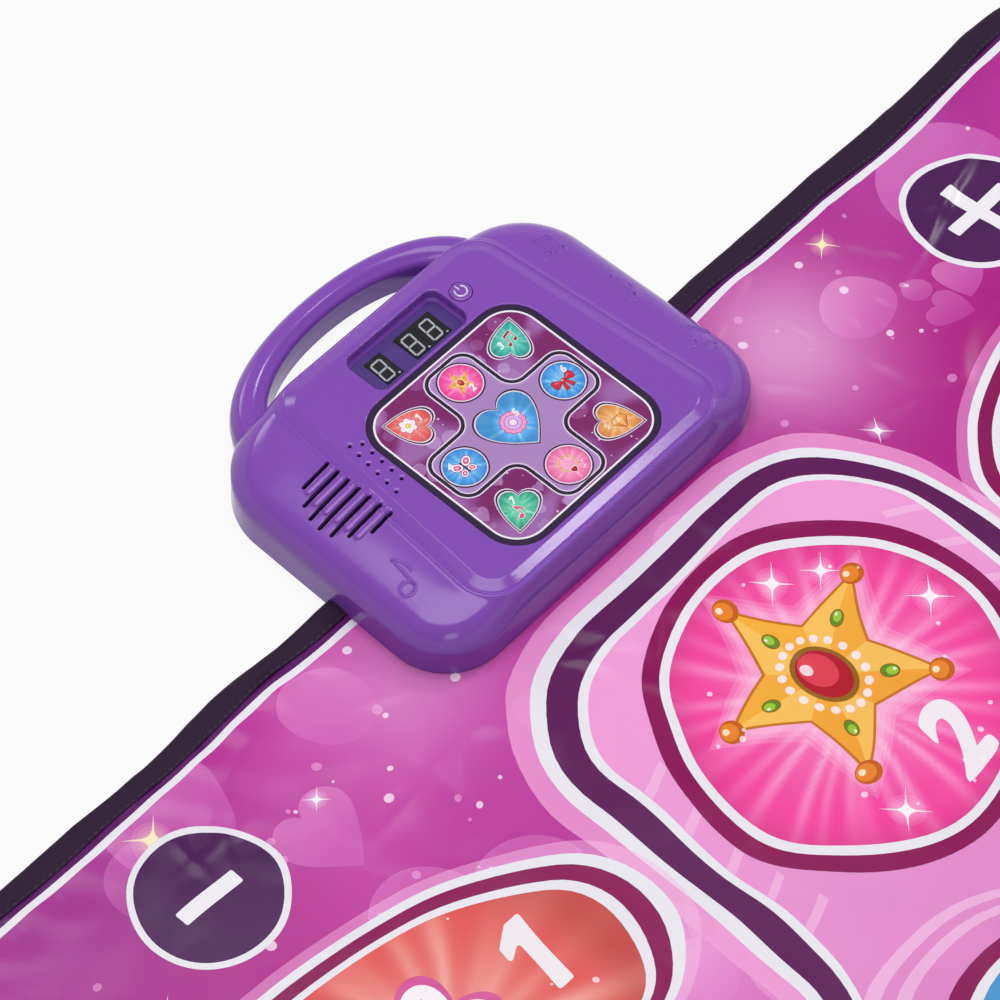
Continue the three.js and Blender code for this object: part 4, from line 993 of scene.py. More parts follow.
def slab(name, flat, tris, top, thickness, material, colours=None, rise=1.0, shrink=0.0, **facts):
    """A closed sheet of the mat where it lies. Its top is shaded with the relief's own normals."""
    flat, tris = compact(flat, tris)
    up, lean = laid(flat, top, rise), leaning(relief, flat, 0.4, rise)
    if shrink:
        middle = up[:, :2].mean(0)
        up[:, :2] = middle + (up[:, :2] - middle) * (1 - shrink)
    made, start, end = closed_sheet(name, up, thickness, tris, material, colours, 0.45, **facts)
    along = up[end] - up[start]
    out = np.column_stack([along[:, 1], -along[:, 0], np.zeros(len(along))])
    out /= np.linalg.norm(out, axis=1)[:, None] + 1e-12
    above, below = lean[tris].reshape(-1, 3), -lean[tris[:, ::-1]].reshape(-1, 3)
    made.data.normals_split_custom_set(np.concatenate([above, below, np.repeat(out, 4, 0)]).tolist())
    return made


# Materials

def add_node(tree, kind, sockets=None, links=None, **settings):
    """A node with its settings, its sockets' values and its links."""
    made = tree.nodes.new(kind)
    for key, value in settings.items():
        setattr(made, key, value)
    for key, value in (sockets or {}).items():
        made.inputs[key].default_value = value
    for key, source in (links or {}).items():
        tree.links.new(source, made.inputs[key])
    return made


def finish(name, colour=None, attribute=None, roughness=0.4, uneven=0.06, grain=0.4, depth=0.02, mottle=0.05,
           patch=25, **shader):
    """A procedural surface: its colour, or a colour attribute, is varied by slow noise, its roughness by
    another, and a fine noise of a real grain size in millimetres gives it its bump."""
    material = bpy.data.materials.new(name)
    material.use_nodes = True
    tree = material.node_tree
    tree.nodes.clear()
    place = add_node(tree, "ShaderNodeTexCoord").outputs["Object"]
    slow = add_node(tree, "ShaderNodeTexNoise", {"Scale": 1 / (patch * MM), "Detail": 3.0}, {"Vector": place})
    fine = add_node(tree, "ShaderNodeTexNoise", {"Scale": 1 / (grain * MM), "Detail": 2.0}, {"Vector": place})
    bump = add_node(tree, "ShaderNodeBump", {"Distance": depth * MM, "Strength": 1.0},
                    {"Height": fine.outputs["Fac"]})
    rough = add_node(tree, "ShaderNodeMapRange", {"To Min": roughness - uneven, "To Max": roughness + uneven},
                     {"Value": slow.outputs["Fac"]})
    ramp = add_node(tree, "ShaderNodeMapRange", {"To Min": 1 - mottle, "To Max": 1 + mottle},
                    {"Value": slow.outputs["Fac"]})
    base = add_node(tree, "ShaderNodeVectorMath", operation="SCALE")
    tree.links.new(ramp.outputs["Result"], base.inputs["Scale"])
    if attribute:
        print_colour = add_node(tree, "ShaderNodeAttribute", attribute_name=attribute).outputs["Color"]
        tree.links.new(print_colour, base.inputs[0])
    else:
        base.inputs[0].default_value = tuple(linear(colour))
    body = add_node(tree, "ShaderNodeBsdfPrincipled", shader, {
        "Base Color": base.outputs[0],
        "Roughness": rough.outputs["Result"],
        "Normal": bump.outputs["Normal"],
    })
    add_node(tree, "ShaderNodeOutputMaterial", None, {"Surface": body.outputs["BSDF"]})
    return material


# Each key's material: its name, its colour, or none where the print gives it, and what finish is told
MATERIALS = {
    # Moulded ABS: a bright violet with a mould's polish, so lamps draw soft streaks on every round edge
    "case": ("moulded_abs_violet", "#834bb4", {
        "roughness": 0.15, "uneven": 0.03, "grain": 3.0, "depth": 0.012, "mottle": 0.03, "patch": 60,
        "IOR": 1.54, "Specular IOR Level": 0.36}),
    # Moulded ABS in a deep violet, seen at the bottom of the display's well
    "well": ("moulded_abs_deep_violet", "#46277c", {
        "roughness": 0.32, "grain": 1.0, "depth": 0.01, "IOR": 1.54}),
    # Printed PVC film on foam: satin, with the faint tooth of the foam under it
    "vinyl": ("printed_pvc_laminate", None, {
        "attribute": "ink", "roughness": 0.24, "uneven": 0.04, "grain": 1.6, "depth": 0.012, "mottle": 0.03,
        "patch": 40, "IOR": 1.5, "Specular IOR Level": 0.24}),
    # Back-printed polycarbonate under a clear gloss
    "panel": ("printed_polycarbonate", None, {
        "attribute": "ink", "roughness": 0.2, "uneven": 0.03, "grain": 2.0, "depth": 0.004, "mottle": 0.02,
        "patch": 30, "IOR": 1.58}),
    # Woven polyester tape: dark violet, dull, ribbed. The threads are drawn about twice their real 0.4 mm,
    # so that they show
    "binding": ("woven_polyester_tape", "#2c1632", {
        "roughness": 0.7, "uneven": 0.08, "grain": 0.9, "depth": 0.12, "mottle": 0.3, "patch": 14,
        "Specular IOR Level": 0.2}),
    # Spun polyester thread, dull
    "thread": ("polyester_thread", "#46304f", {"roughness": 0.6, "grain": 0.3, "depth": 0.05}),
    # Closed-cell polyethylene foam: matt, with cells of just under a millimetre
    "foam": ("closed_cell_foam", "#e4e1e8", {"roughness": 0.9, "grain": 0.8, "depth": 0.1, "mottle": 0.08}),
    # Cloth with small rubber dots, which keep the mat from slipping
    "backing": ("dotted_non_slip_cloth", "#2b2b33", {
        "roughness": 0.85, "grain": 1.2, "depth": 0.2, "mottle": 0.2, "patch": 6}),
    # Clear polyester film, almost smooth
    "film": ("polyester_membrane_film", "#d6dbda", {"roughness": 0.3, "grain": 1.0, "depth": 0.01}),
    # Moulded ABS in black, with a fine spark texture
    "black": ("moulded_abs_black", "#17181c", {"roughness": 0.38, "grain": 0.6, "depth": 0.01, "IOR": 1.54}),
    # The display's smoked acrylic face, polished
    "smoked": ("smoked_display_face", "#0e0f13", {
        "roughness": 0.22, "grain": 1.0, "depth": 0.003, "IOR": 1.56}),
    # Milky resin in the display's unlit segments
    "segment": ("unlit_display_segments", "#a9abb4", {"roughness": 0.35, "grain": 0.5, "depth": 0.004}),
    # Silver hot-stamping foil on the button's symbol
    "silver": ("silver_hot_foil", "#dcd6e6", {
        "roughness": 0.28, "grain": 0.5, "depth": 0.004, "mottle": 0.1, "patch": 2, "Metallic": 0.35}),
    # Moulded polystyrene, satin white
    "white": ("moulded_polystyrene_white", "#ededeb", {"roughness": 0.42, "grain": 0.6, "depth": 0.008}),
    # Glass-fibre laminate under green solder mask
    "board": ("solder_masked_laminate", "#1d6a3c", {
        "roughness": 0.45, "grain": 0.7, "depth": 0.02, "mottle": 0.2, "patch": 8}),
    # Steel with a thin zinc plating
    "steel": ("zinc_plated_steel", "#b9bdc2", {
        "roughness": 0.3, "uneven": 0.1, "grain": 0.5, "depth": 0.01, "mottle": 0.08, "patch": 3,
        "Metallic": 1.0}),
    # Pressed paper, black and dull
    "cone": ("pressed_paper_cone", "#25252a", {
        "roughness": 0.9, "grain": 0.5, "depth": 0.05, "mottle": 0.15}),
    # The cells' printed metal jacket
    "cell": ("zinc_carbon_cell_jacket", "#2a5f9e", {
        "roughness": 0.35, "grain": 0.6, "depth": 0.01, "mottle": 0.1, "Metallic": 0.4}),
}
FINISHES = {}


def material_of(key):
    """The material of that key, made once."""
    if key not in FINISHES:
        name, colour, looks = MATERIALS[key]
        FINISHES[key] = finish(name, colour, **looks)
    return FINISHES[key]


# The printed sheets

NEAR_CONSOLE = ((-330, -165), (335, 8))  # where the cover's mesh is closer
PAD_SHRINK = 0.0012  # a pad's skin is that much smaller than its hole


def cover_sheets(spacing, pad_spacing):
    """One triangulated print for the whole mat, then cut along the pads' outlines."""
    inks = [*backdrop_inks(), *border_inks(), *cross_inks()]
    for number in range(1, 10):
        inks += pad_inks(number)
    inks += volume_inks()
    edge = rounded(grown(MAT_CORNERS, -COVER_INSET), 8, 10)[0]
    pads = {f"pad_{number}": pad_outline(number) for number in range(1, 10)}
    pads |= {name: ring(x, y, VOLUME_RADIUS, 72) for name, (x, y) in VOLUME_MIDDLES.items()}
    cuts = list(pads.values())
    coarse, (low, high) = honeycomb(MAT_LOW, MAT_HIGH, spacing), NEAR_CONSOLE
    near = honeycomb(low, high, spacing * 0.56)
    coarse = np.concatenate([coarse[~((coarse > low) & (coarse < high)).all(1)], near])
    coarse = coarse[inside(coarse, [edge]) & ~inside(coarse, [*cuts, rounded(grown(CASE, -30))[0]])]
    fine = honeycomb(MAT_LOW, MAT_HIGH, pad_spacing)
    fine = fine[inside(fine, cuts)]
    loops = [edge, *cuts, *(loop for ink in inks for loop in ink[0])]
    flat, tris = triangles([filled(loop, spacing) for loop in loops], np.concatenate([coarse, fine]))
    middles = flat[tris].mean(1)
    kept = inside(middles, [edge])
    tris, middles = tris[kept], middles[kept]
    colours = composed(flat[tris], ground, inks)
    taken, vinyl = np.zeros(len(tris), bool), material_of("vinyl")
    for name, outline in pads.items():
        own = inside(middles, [outline])
        taken |= own
        bottom, top = LAYERS[name]
        slot = "disc_vinyl" if name.startswith("volume") else "pad_vinyl"
        made = slab(f"{name}_skin", flat, tris[own], MAT_TOP, top - bottom, vinyl, colours[own],
                    shrink=PAD_SHRINK, body=name, slot=slot, replaces=[name])
    bottom, top = LAYERS["mat_cover"]
    left = tris[~taken]
    made = slab("printed_cover", flat, left, MAT_TOP, top - bottom, vinyl, colours[~taken],
                slot="printed_vinyl", replaces=["mat_cover"])
    return made, tuple((MAT_HIGH - MAT_LOW - 2 * COVER_INSET) * MM), plan_area(flat[left])


def hem_width(path):
    """How wide the tape lies along its path, as a share of its width."""
    return 1 + 0.03 * waves(path, np.random.default_rng(22), 5, 70, 0.5) + 0.12 * step(path[:, 0], 110, 230)


def hem_height(path, height):
    """The height of a point of the tape's section along its path: its upper side swells and puckers."""
    rng, flat = np.random.default_rng(21), path.reshape(-1, 2)
    swell = (0.4 * waves(flat, rng, 6, 60, 0.5)).clip(-0.25).reshape(path.shape[:-1])
    pucker = (0.45 * waves(flat, rng, 5, 34, 0.4)).clip(0).reshape(path.shape[:-1])
    return height + (height > 6) * (height - 6.1) * swell * 1.6 + (height > 4) * pucker


def hem(spacing=6.0):
    """The folded tape round the mat: one section carried along the edge, swelling and puckering."""
    path, out = rounded(MAT_CORNERS, 8, spacing)
    section = np.array([
        (-15.0, 6.1), (-14.7, 6.75), (-13.7, 6.75), (-12.9, 6.4), (-12.0, 6.75), (-8.0, 7.1), (-4.0, 7.0),
        (-1.6, 6.4), (-0.3, 5.0), (0.0, 3.2), (-0.4, 1.2), (-1.6, 0.2), (-4.0, 0.0), (-15.0, 0.0),
        (-15.0, 0.5), (-4.0, 0.55), (-2.0, 0.7), (-0.95, 1.6), (-0.8, 3.2), (-1.0, 4.8), (-2.2, 5.9),
        (-5.0, 6.1),
    ])
    where = path[None] + out[None] * (section[:, None, :1] * hem_width(path)[None, :, None])
    where = where + slack(where.reshape(-1, 2)).reshape(where.shape)
    high = hem_height(path[None], section[:, None, 1])
    rings = np.concatenate([where + ORIGIN, high[..., None]], -1).transpose(1, 0, 2)
    points, quads = strip(rings)
    here = np.arange(len(section))
    ahead, last = np.roll(here, -1), (len(path) - 1) * len(section)
    seam = np.stack([here + last, ahead + last, ahead, here], -1)
    return piece("binding_tape", points, [quads, seam], material_of("binding"), slot="binding_cloth",
                 replaces=["edge_binding"])


def stitches(pitch=4.6):
    """The seam along the tape's inner side: short threads in a row, each a thin spindle with four sides."""
    path, out = (np.concatenate([rows, rows[:1]]) for rows in rounded(MAT_CORNERS, 8, 1.0))
    run = run_along(path)
    even = np.arange(0, run[-1] - pitch, pitch)
    along, outward = read_at(even, run, path), read_at(even, run, out)
    clear = (np.abs(along[:, 0]) >= 150) | (along[:, 1] <= MAT_HIGH[1] - 40)
    along, outward = along[clear], outward[clear]
    reach, wide = np.array([-1.6, -0.9, 0.9, 1.6]), np.array([0.12, 0.38, 0.38, 0.12])
    angle = np.arange(4) * np.pi / 2
    seam = along - 13.3 * hem_width(along)[:, None] * outward
    flat = seam[:, None, None] + left_of(outward)[:, None, None] * reach[:, None, None]
    flat = flat + outward[:, None, None] * (wide[:, None] * np.cos(angle))[..., None]
    flat = flat + slack(flat.reshape(-1, 2)).reshape(flat.shape)
    high = hem_height(along, np.full(len(along), 6.62))[:, None, None] + wide[:, None] * np.sin(angle)
    points = on_console(np.concatenate([flat, high[..., None]], -1).reshape(-1, 3))
    row = np.arange(4)
    after = (row + 1) % 4
    quads = np.concatenate([np.stack([row, row + 4, after + 4, after], -1) + 4 * k for k in range(3)]
                           + [np.array([[0, 1, 2, 3], [15, 14, 13, 12]])])
    faces = (quads[None] + 16 * np.arange(len(along))[:, None, None]).reshape(-1, 4)
    return piece("binding_stitches", points, faces, material_of("thread"), slot="binding_cloth")


def soft_layer(name, node, material, slot, holes=()):
    """One flat layer inside the mat: its outline, less the holes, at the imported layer's heights. Returns it
    with its size and area in metres."""
    bottom, top = LAYERS[node]
    low, high = plan_box(node)
    edge = rounded(box_corners(low[0] + 1.5, high[0] - 1.5, low[1] + 1.5, high[1] - 1.5, 22), 6, 14)[0]
    scatter = honeycomb(low, high, 24)
    flat, tris = triangles([edge, *holes], scatter[inside(scatter, [edge]) & ~inside(scatter, holes)])
    middles = flat[tris].mean(1)
    tris = tris[inside(middles, [edge]) & ~inside(middles, holes)]
    made = slab(name, flat, tris, top, top - bottom, material_of(material), rise=0, slot=slot,
                replaces=[node])
    return made, tuple((high - low) * MM), plan_area(flat[tris])


# The console's case

SHOULDER = 32.0
FOOT = 41.6
RIDGE_RUN = 8.0
ROLL = 13.0  # how wide the border's edge rolls over, on a circle of ROLL_RADIUS that ends short of the wall
ROLL_RADIUS = 15.0
WALL_ROWS = [0.0, 0.12, 0.35, 0.75, 1.3, 2.0, 3.0]
SHELL = 2.5
SOUND_HOLES = [(-75 - 0.9 * k, 56 - 8 * k) for k in range(6)]
SOUND_HOLES += [(-69 - 0.5 * k, 52 - 8 * k) for k in range(5)]
SLOT_REACH = [0.62, 0.86, 0.97, 1, 0.97, 0.8, 0.5]
SLOTS = [((-91.0, 58 - 8.1 * k), (-91.0 - 33 * share + 1.0, 57.4 - 8.1 * k))
         for k, share in enumerate(SLOT_REACH)]
FINS = [((-91.2, 53.9 - 8.1 * k), (-90.0 - 33 * min(share, 0.7), 53.5 - 8.1 * k))
        for k, share in enumerate(SLOT_REACH[:-1])]
POWER_RIM = box_corners(*(POWER[0] + [-7, 7]), *(POWER[1] + [-7, 7]), 7)


def note(x, y, turn, stem, head, beam=None):
    """Raised lines of a music note from the top of its stem: the stem, a round head beside its foot, and a
    double beam to a second stem, or else a hanging flag."""
    lines = []
    for top in ([(0, 0), beam] if beam else [(0, 0)]):
        foot = (top[0], top[1] - stem)
        lines += [np.array([top, foot], float), ring(foot[0] - head, foot[1], head, 26)[[*range(26), 0]]]
    if beam:
        lines += [np.array([(0, -drop), (beam[0], beam[1] - drop)], float) for drop in (0, 2.8)]
    else:
        lines.append(np.array([(0, 0), (2.0, -2.6), (3.6, -6.0), (4.2, -9.6), (3.9, -13)], float))
    made = []
    for line in lines:
        line = moved(line, x, y, 1.0, turn)
        run = run_along(line)
        made.append(read_at(np.linspace(0, run[-1], max(3, int(run[-1] / 0.9))), run, line))
    return made


NOTES = [*note(105.7, 81.3, 0.0, 14.0, 3.0, (9.4, -1.4)), *note(118.2, 32.2, 0.0, 18.9, 3.8),
         *note(122.3, -23.7, -0.52, 13.6, 3.3, (11.0, -2.9)), *note(-112.5, -11.8, -0.145, 20.0, 4.2)]


def line_distance(points, line):
    """The least distance from points to an open line's pieces."""
    least = np.full(len(points), 1e9)
    for a, b in zip(line[:-1], line[1:]):
        run = b - a
        t = np.clip((points - a) @ run / (run @ run), 0, 1)
        least = np.minimum(least, np.linalg.norm(points - (a + t[:, None] * run), axis=1))
    return least


def case_top(points):
    """The height of the case's top: a flat platform, an eased slope down to the ridge's foot, and a border
    that falls to the shoulder as 1 - (1 - share)^2, less a quarter-round at the wall, the lips of the
    openings and the holes' dimples, and with the grille's fins and the notes' lines raised on it."""
    beyond = -depth_in(points, PLATFORM)
    within = depth_in(points, CASE)
    t = np.clip(beyond / RIDGE_RUN, 0, 1)
    ease = 0.15
    slope = np.where(t < ease, t * t / (2 * ease), np.where(
        t > 1 - ease, 1 - ease - (1 - t) ** 2 / (2 * ease), t - ease / 2)) / (1 - ease)
    inner = PLATFORM_TOP - (PLATFORM_TOP - FOOT) * slope
    outside = np.clip(beyond - RIDGE_RUN, 0, None)
    share = np.clip(within, 0, None) / (np.clip(within, 0, None) + outside + 1e-9)
    border = SHOULDER + (FOOT - SHOULDER) * (1 - (1 - share) ** 2)
    high = np.where(beyond <= RIDGE_RUN, inner, border)
    past = beyond - RIDGE_RUN
    high += 0.75 * np.exp(-((past - 2.2) / 1.3) ** 2) - 0.45 * np.exp(-((past - 0.2) / 0.7) ** 2)
    roll = np.minimum(ROLL, 0.92 * (np.clip(within, 0, None) + outside)) + 1e-6
    radius = roll * ROLL_RADIUS / ROLL
    short = np.clip(roll - within, 0, roll)
    high -= radius - np.sqrt(radius ** 2 - short ** 2)
    for corners, lip in ((PANEL, 0.9), (WINDOW, 1.3), (POWER_RIM, 0.5)):
        out = -depth_in(points, corners)
        rest = 1 - np.clip(out / lip, 0, 1)
        high -= lip * 0.85 * (1 - np.sqrt(np.clip(1 - rest ** 2, 0, None)))
    for x, y in SOUND_HOLES:
        away = np.hypot(points[:, 0] - x, points[:, 1] - y)
        high -= 0.3 * (1 - step(away, 1.0, 3.0))
    for start, end in FINS:
        away = line_distance(points, np.array([start, end]))
        high += 0.4 * (1 - (np.minimum(away, 2.8) / 2.8) ** 2) + 0.9 * (1 - step(away, 1.8, 2.75))
    for line in NOTES:
        high += 0.8 * (1 - step(line_distance(points, line), 0.15, 1.05))
    return high


def beside(line, gap):
    """A line moved to its left by a gap."""
    return line + left_of(heading(line)) * gap


def case_shell():
    """The top case as one closed shell: a height field over the plan, the same lowered for its inner face,
    walls round its edge, and a wall round each opening."""
    edge, out = rounded(CASE, 18, 4.0)
    step_y = MAT_EDGE + 0.3
    ahead = np.roll(edge, -1, 0)
    split = np.flatnonzero((edge[:, 1] - step_y) * (ahead[:, 1] - step_y) < 0)
    share = (step_y - edge[split, 1]) / (ahead[split, 1] - edge[split, 1])
    where = edge[split] + (ahead[split] - edge[split]) * share[:, None]
    drift = np.sign(ahead[split, 1] - edge[split, 1])[:, None] * [0, 1e-3]
    after = np.repeat(split + 1, 2)
    edge = np.insert(edge, after, np.stack([where - drift, where + drift], 1).reshape(-1, 2), 0)
    out = np.insert(out, after, np.repeat(out[split], 2, 0), 0)
    rim = edge - out * WALL_ROWS[-1]

    base_edge, base_out = rounded(PLATFORM, 16, 6.0)
    guides = [base_edge + base_out * d for d in (
        0.0, 0.4, 0.8, 1.2, 2.4, 4.4, 6.4, 6.9, 7.4, 7.8, 8.2, 8.6, 9.1, 9.7, 10.3, 11.0, 12.0, 13.5)]
    case_edge, case_out = rounded(CASE, 16, 6.0)
    guides += [case_edge - case_out * d for d in (4.0, 5.4, 7.2, 9.2, 11.0)]
    openings = []
    for corners, lip, well in ((PANEL, 0.9, None), (WINDOW, 1.3, (1.7, 36.3)), (POWER_RIM, 0.5, None)):
        loop, normal = rounded(corners, 14, 6.0)
        guides += [loop + normal * lip * k for k in (0.08, 0.3, 0.62, 1.0)]
        openings.append((loop, normal, well))
    for x, y in SOUND_HOLES:
        loop = ring(0, 0, 1, 20)
        openings.append((loop * 1.2 + [x, y], loop, None))
        guides += [loop * r + [x, y] for r in (1.7, 2.3, 3.0)]
    for start, end in SLOTS:
        loop = capsule(start, end, 1.3, 8)
        openings.append((loop, loop * 0, None))
        guides.append(capsule(start, end, 1.9, 8))
    for start, end in FINS:
        guides += [capsule(start, end, r, 8) for r in (0.9, 1.5, 1.8, 2.1, 2.4, 2.7)]
    lines = [beside(line, gap) for line in NOTES for gap in (-1.05, -0.6, -0.15, 0.15, 0.6, 1.05)]
    holes = [opening[0] for opening in openings]
    scatter = honeycomb((-142, -82), (137, 117), 2.3)
    beyond, within = -depth_in(scatter, PLATFORM), depth_in(scatter, CASE)
    clear = (within > 11.8) & ((beyond < -0.5) | (beyond > 14)) & (depth_in(scatter, PANEL) < -1.5)
    clear &= depth_in(scatter, WINDOW) < -2.2
    guides = [g[depth_in(g, CASE) > 3.4] for g in guides]
    closed = [g for g in guides if len(g) > 2]
    flat, tris = triangles([rim, *holes, *closed], scatter[clear], lines, enclosed=True)
    tris = tris[~inside(flat[tris].mean(1), holes)]
    top = np.column_stack([flat, case_top(flat)])
    parts = [(top, tris), (top - [0, 0, SHELL], tris[:, ::-1])]
    around = sorted(outlines(tris), key=lambda row: -np.ptp(flat[row, 0]))
    last = top[around[0]]
    edge, out = (carried(last[:, :2], rim, values) for values in (edge, out))
    bottom = np.where(edge[:, 1] > step_y, 0.5, 6.9)

    def row(inset, high):
        return np.column_stack([edge - out * inset, high])

    rows = [last - [0, 0, SHELL], row(SHELL + 0.1, np.minimum(last[:, 2] - SHELL - 1, 20.0)),
            row(SHELL, bottom), row(-0.6, bottom)]
    rows += [row(-0.6 * (1 - k), bottom + (case_top(edge) - bottom) * k) for k in (0.35, 0.7)]
    rows += [row(inset, case_top(edge - out * inset)) for inset in WALL_ROWS[:-1]] + [last]
    parts.append(strip(rows))
    centres = np.array([(flat[row].min(0) + flat[row].max(0)) / 2 for row in around[1:]])
    for loop, normal, well in openings:
        away = np.linalg.norm(centres - (loop.min(0) + loop.max(0)) / 2, axis=1)
        mouth = top[around[1 + away.argmin()][::-1]]
        loop, normal = mouth[:, :2], carried(mouth[:, :2], loop, normal)
        walls = [mouth]
        if well:
            inset, floor = well
            inner = loop - normal * inset
            drop = floor - mouth[:, 2]
            walls += [np.column_stack([loop - normal * inset * aside, mouth[:, 2] + drop * down])
                      for aside, down in ((0.1, 0.12), (0.18, 0.5), (0.3, 0.8), (0.6, 0.95))]
            walls += [np.column_stack([inner, np.full(len(inner), floor)]),
                      np.column_stack([inner, np.full(len(inner), floor - 0.25)]),
                      np.column_stack([loop + normal * 0.9, mouth[:, 2] - SHELL - 0.4])]
        walls.append(mouth - [0, 0, SHELL])
        parts.append(strip(walls))
    points, faces = joined([(on_console(p), f) for p, f in parts], weld=1e-3)
    faces = [good for rows in faces for good in without_repeats(rows)]
    made = piece("top_case_shell", points, faces, material_of("case"), slot="purple_plastic",
                 replaces=["top_case"])
    shade_by_height(made.data)
    return made


def shade_by_height(mesh):
    """Gives the shell's upward corners the height field's own normals, and leaves the rest as shaded."""
    mesh.set_sharp_from_angle(angle=math.radians(40))
    normals = np.zeros(len(mesh.loops) * 3, np.float32)
    mesh.corner_normals.foreach_get("vector", normals)
    normals = normals.reshape(-1, 3)
    index = np.zeros(len(mesh.loops), np.int32)
    mesh.loops.foreach_get("vertex_index", index)
    points = np.zeros(len(mesh.vertices) * 3, np.float32)
    mesh.vertices.foreach_get("co", points)
    points = points.reshape(-1, 3) / MM - [*ORIGIN, 0]
    flat = points[:, :2].astype(float)
    on_top = (np.abs(points[:, 2] - case_top(flat)) < 0.02)[index] & (depth_in(flat, CASE) > 1.0)[index]
    lean = leaning(case_top, flat, 0.06)
    face_up = normals[:, 2] > 0.25
    close = (normals * lean[index]).sum(1) > 0.6
    chosen = on_top & face_up & close
    normals[chosen] = lean[index][chosen]
    mesh.normals_split_custom_set(normals.tolist())


def handle():
    """The carry handle: one moulded section carried along half a slightly squared ellipse. The section is
    crowned on top and rounded on both sides. A small gate mark and a sink mark lie on its top."""
    turn = np.linspace(0, np.pi, 161)
    blunt, mean = 0.952, 10.8
    across = np.sign(np.cos(turn)) * np.abs(np.cos(turn)) ** blunt
    outward = np.abs(np.sin(turn)) ** blunt
    path = np.stack([-6 - 90 * across, 101 + 48.2 * outward], -1)
    along = np.gradient(path, axis=0)
    along[0], along[-1] = (0, 1), (0, -1)
    side = left_of(unit(along))
    half = (9.2 + (12.5 - 9.2) * np.abs(np.cos(turn)) ** 2) / mean
    section, _ = rounded([(-9.4, 2.4, 1.2), (10.0, 2.4, 2.0), (10.8, 15, 12), (9.6, 25.0, 7.5),
                          (-1.0, 27.0, 11.0), (-9.3, 22.8, 5.0), (-9.7, 14.0, 5.0)], 14, 1.2)
    wide, rise = section.T
    rise = rise + 0.7 * np.clip(1 - ((wide - 2.6) / 7.6) ** 2, 0, None) * step(rise, 22, 25.5)
    flat = path[:, None] + side[:, None] * (wide[None, :, None] * half[:, None, None])
    high = np.broadcast_to(rise, flat.shape[:2]).copy()
    for mark, depth in (((-58.5, 133.5), -0.45), ((-1.5, 150.5), 0.25)):
        away = np.linalg.norm(flat - mark, axis=-1)
        high -= depth * np.exp(-(away / 1.3) ** 2) * step(high, 23, 25)
    points, faces = tube(np.concatenate([flat, high[..., None]], -1))
    return piece("carry_handle_skin", on_console(points), faces, material_of("case"), slot="purple_plastic",
                 replaces=["carry_handle"])


# The game panel

def panel_inks():
    """The panel's print: a dark frame, a white line, a cross and nine icons of the pads' pictures."""
    def box(gap):
        return rounded(grown(PANEL, -gap), 12)[0]

    def cross(gap):
        return rounded(grown(cross_corners(17.5, 56.5, 9.5, 10), gap), 10)[0]
    inks = [([box(4.1)], PANEL_WHITE, 1.0), ([box(5.3)], panel_ground, 1.0)]
    rng = np.random.default_rng(17)
    for k in range(60):
        x, y = rng.uniform(-60, 60, 2)
        size = rng.uniform(1.2, 7.5)
        loop = ring(x, y, size, 28) if k % 3 else moved(heart(2 * size, 2 * size, size), x, y)
        inks.append(([loop], "#c3a3d6", 0.28 + 0.3 * (k % 2)))
    places, sizes = rng.uniform(-60, 60, (50, 2)), rng.uniform(0.3, 0.8, 50)
    inks.append(([ring(x, y, size, 8) for (x, y), size in zip(places, sizes)], "#ecd9f0", 0.8))
    inks.append(([box(-1.0), box(4.1)[::-1]], PANEL_DARK, 1.0))
    inks.append(([box(4.1), box(5.3)[::-1]], PANEL_WHITE, 1.0))
    inks += [([cross(1.9)], "#e6dcee", 1.0), ([cross(1.1)], "#270a30", 1.0), ([cross(-1.1)], "#e6dcee", 1.0),
             ([cross(-1.8)], "#b28bc6", 1.0), ([cross(-3.2)], "#ad84c2", 1.0)]
    for number in range(1, 10):
        inks += icon_inks(number)
    return inks


def panel_ground(points):
    """A deep plum, paler in slow clouds."""
    rng = np.random.default_rng(2)
    share = step(waves(points.reshape(-1, 2), rng, 6, 48, 0.4), -0.6, 1.3)[:, None]
    colour = shade("#7a1763") + (shade("#a778bd") - shade("#7a1763")) * share * 0.8
    return colour.reshape(*points.shape[:-1], 3)


def icon_inks(number):
    """One icon: a dark outline, a pale line, rays, the pad's picture and its digit."""
    fill, ray, at = PAD_FILLS[number - 1]
    way = np.array(outward_of(number))
    middle, corner = way * ICON_PITCH, way.all()

    def outline(gap):
        return shaped(number, *middle, ICON_SHAPES, gap)
    inks = []
    if corner:
        inks.append(([outline(1.7)], "#e9d7ec", 1.0))
    inks += [([outline(1.0)], "#351041", 1.0), ([outline(0.0)], "#efdcf0", 1.0),
             ([outline(-0.7)], burst(fill, ray, middle, 13.0, 9, number), 1.0)]
    out, size, reach = (way * 1.2, 6.6, 10.5) if corner else ((0, int(number == 5)), 8.6, 11.5)
    inks += placed(PICTURES[number - 1](), *(middle + out), size)
    return inks + digit_ink(str(number), *(middle + np.array(at) * reach), 5.2)


def game_panel():
    """The printed panel: a flat slab in the case's recess, its print cut into the mesh."""
    bottom, top = LAYERS["game_panel"]
    inks = panel_inks()
    edge = rounded(grown(PANEL, -0.25), 14)[0]
    scatter = honeycomb((-67, -65), (67, 66), 1.5)
    scatter = scatter[depth_in(scatter, PANEL) > 0.8]
    loops = [loop for ink in inks for loop in ink[0]]
    loops = [loop for loop in loops if depth_in(loop, PANEL).max() > 0.5]
    flat, tris = triangles([edge, *loops], scatter)
    flat, tris = compact(flat, tris[inside(flat[tris].mean(1), [edge])])
    colours = composed(flat[tris], lambda p: shade(PANEL_DARK) + np.zeros((*p.shape[:-1], 3)), inks)
    up = on_console(np.column_stack([flat, np.full(len(flat), top)]))
    return closed_sheet("printed_game_panel", up, top - bottom, tris, material_of("panel"), colours, 0.03,
                        smooth=False, slot="printed_panel", replaces=["game_panel"])[0]


# Display digits and the power button

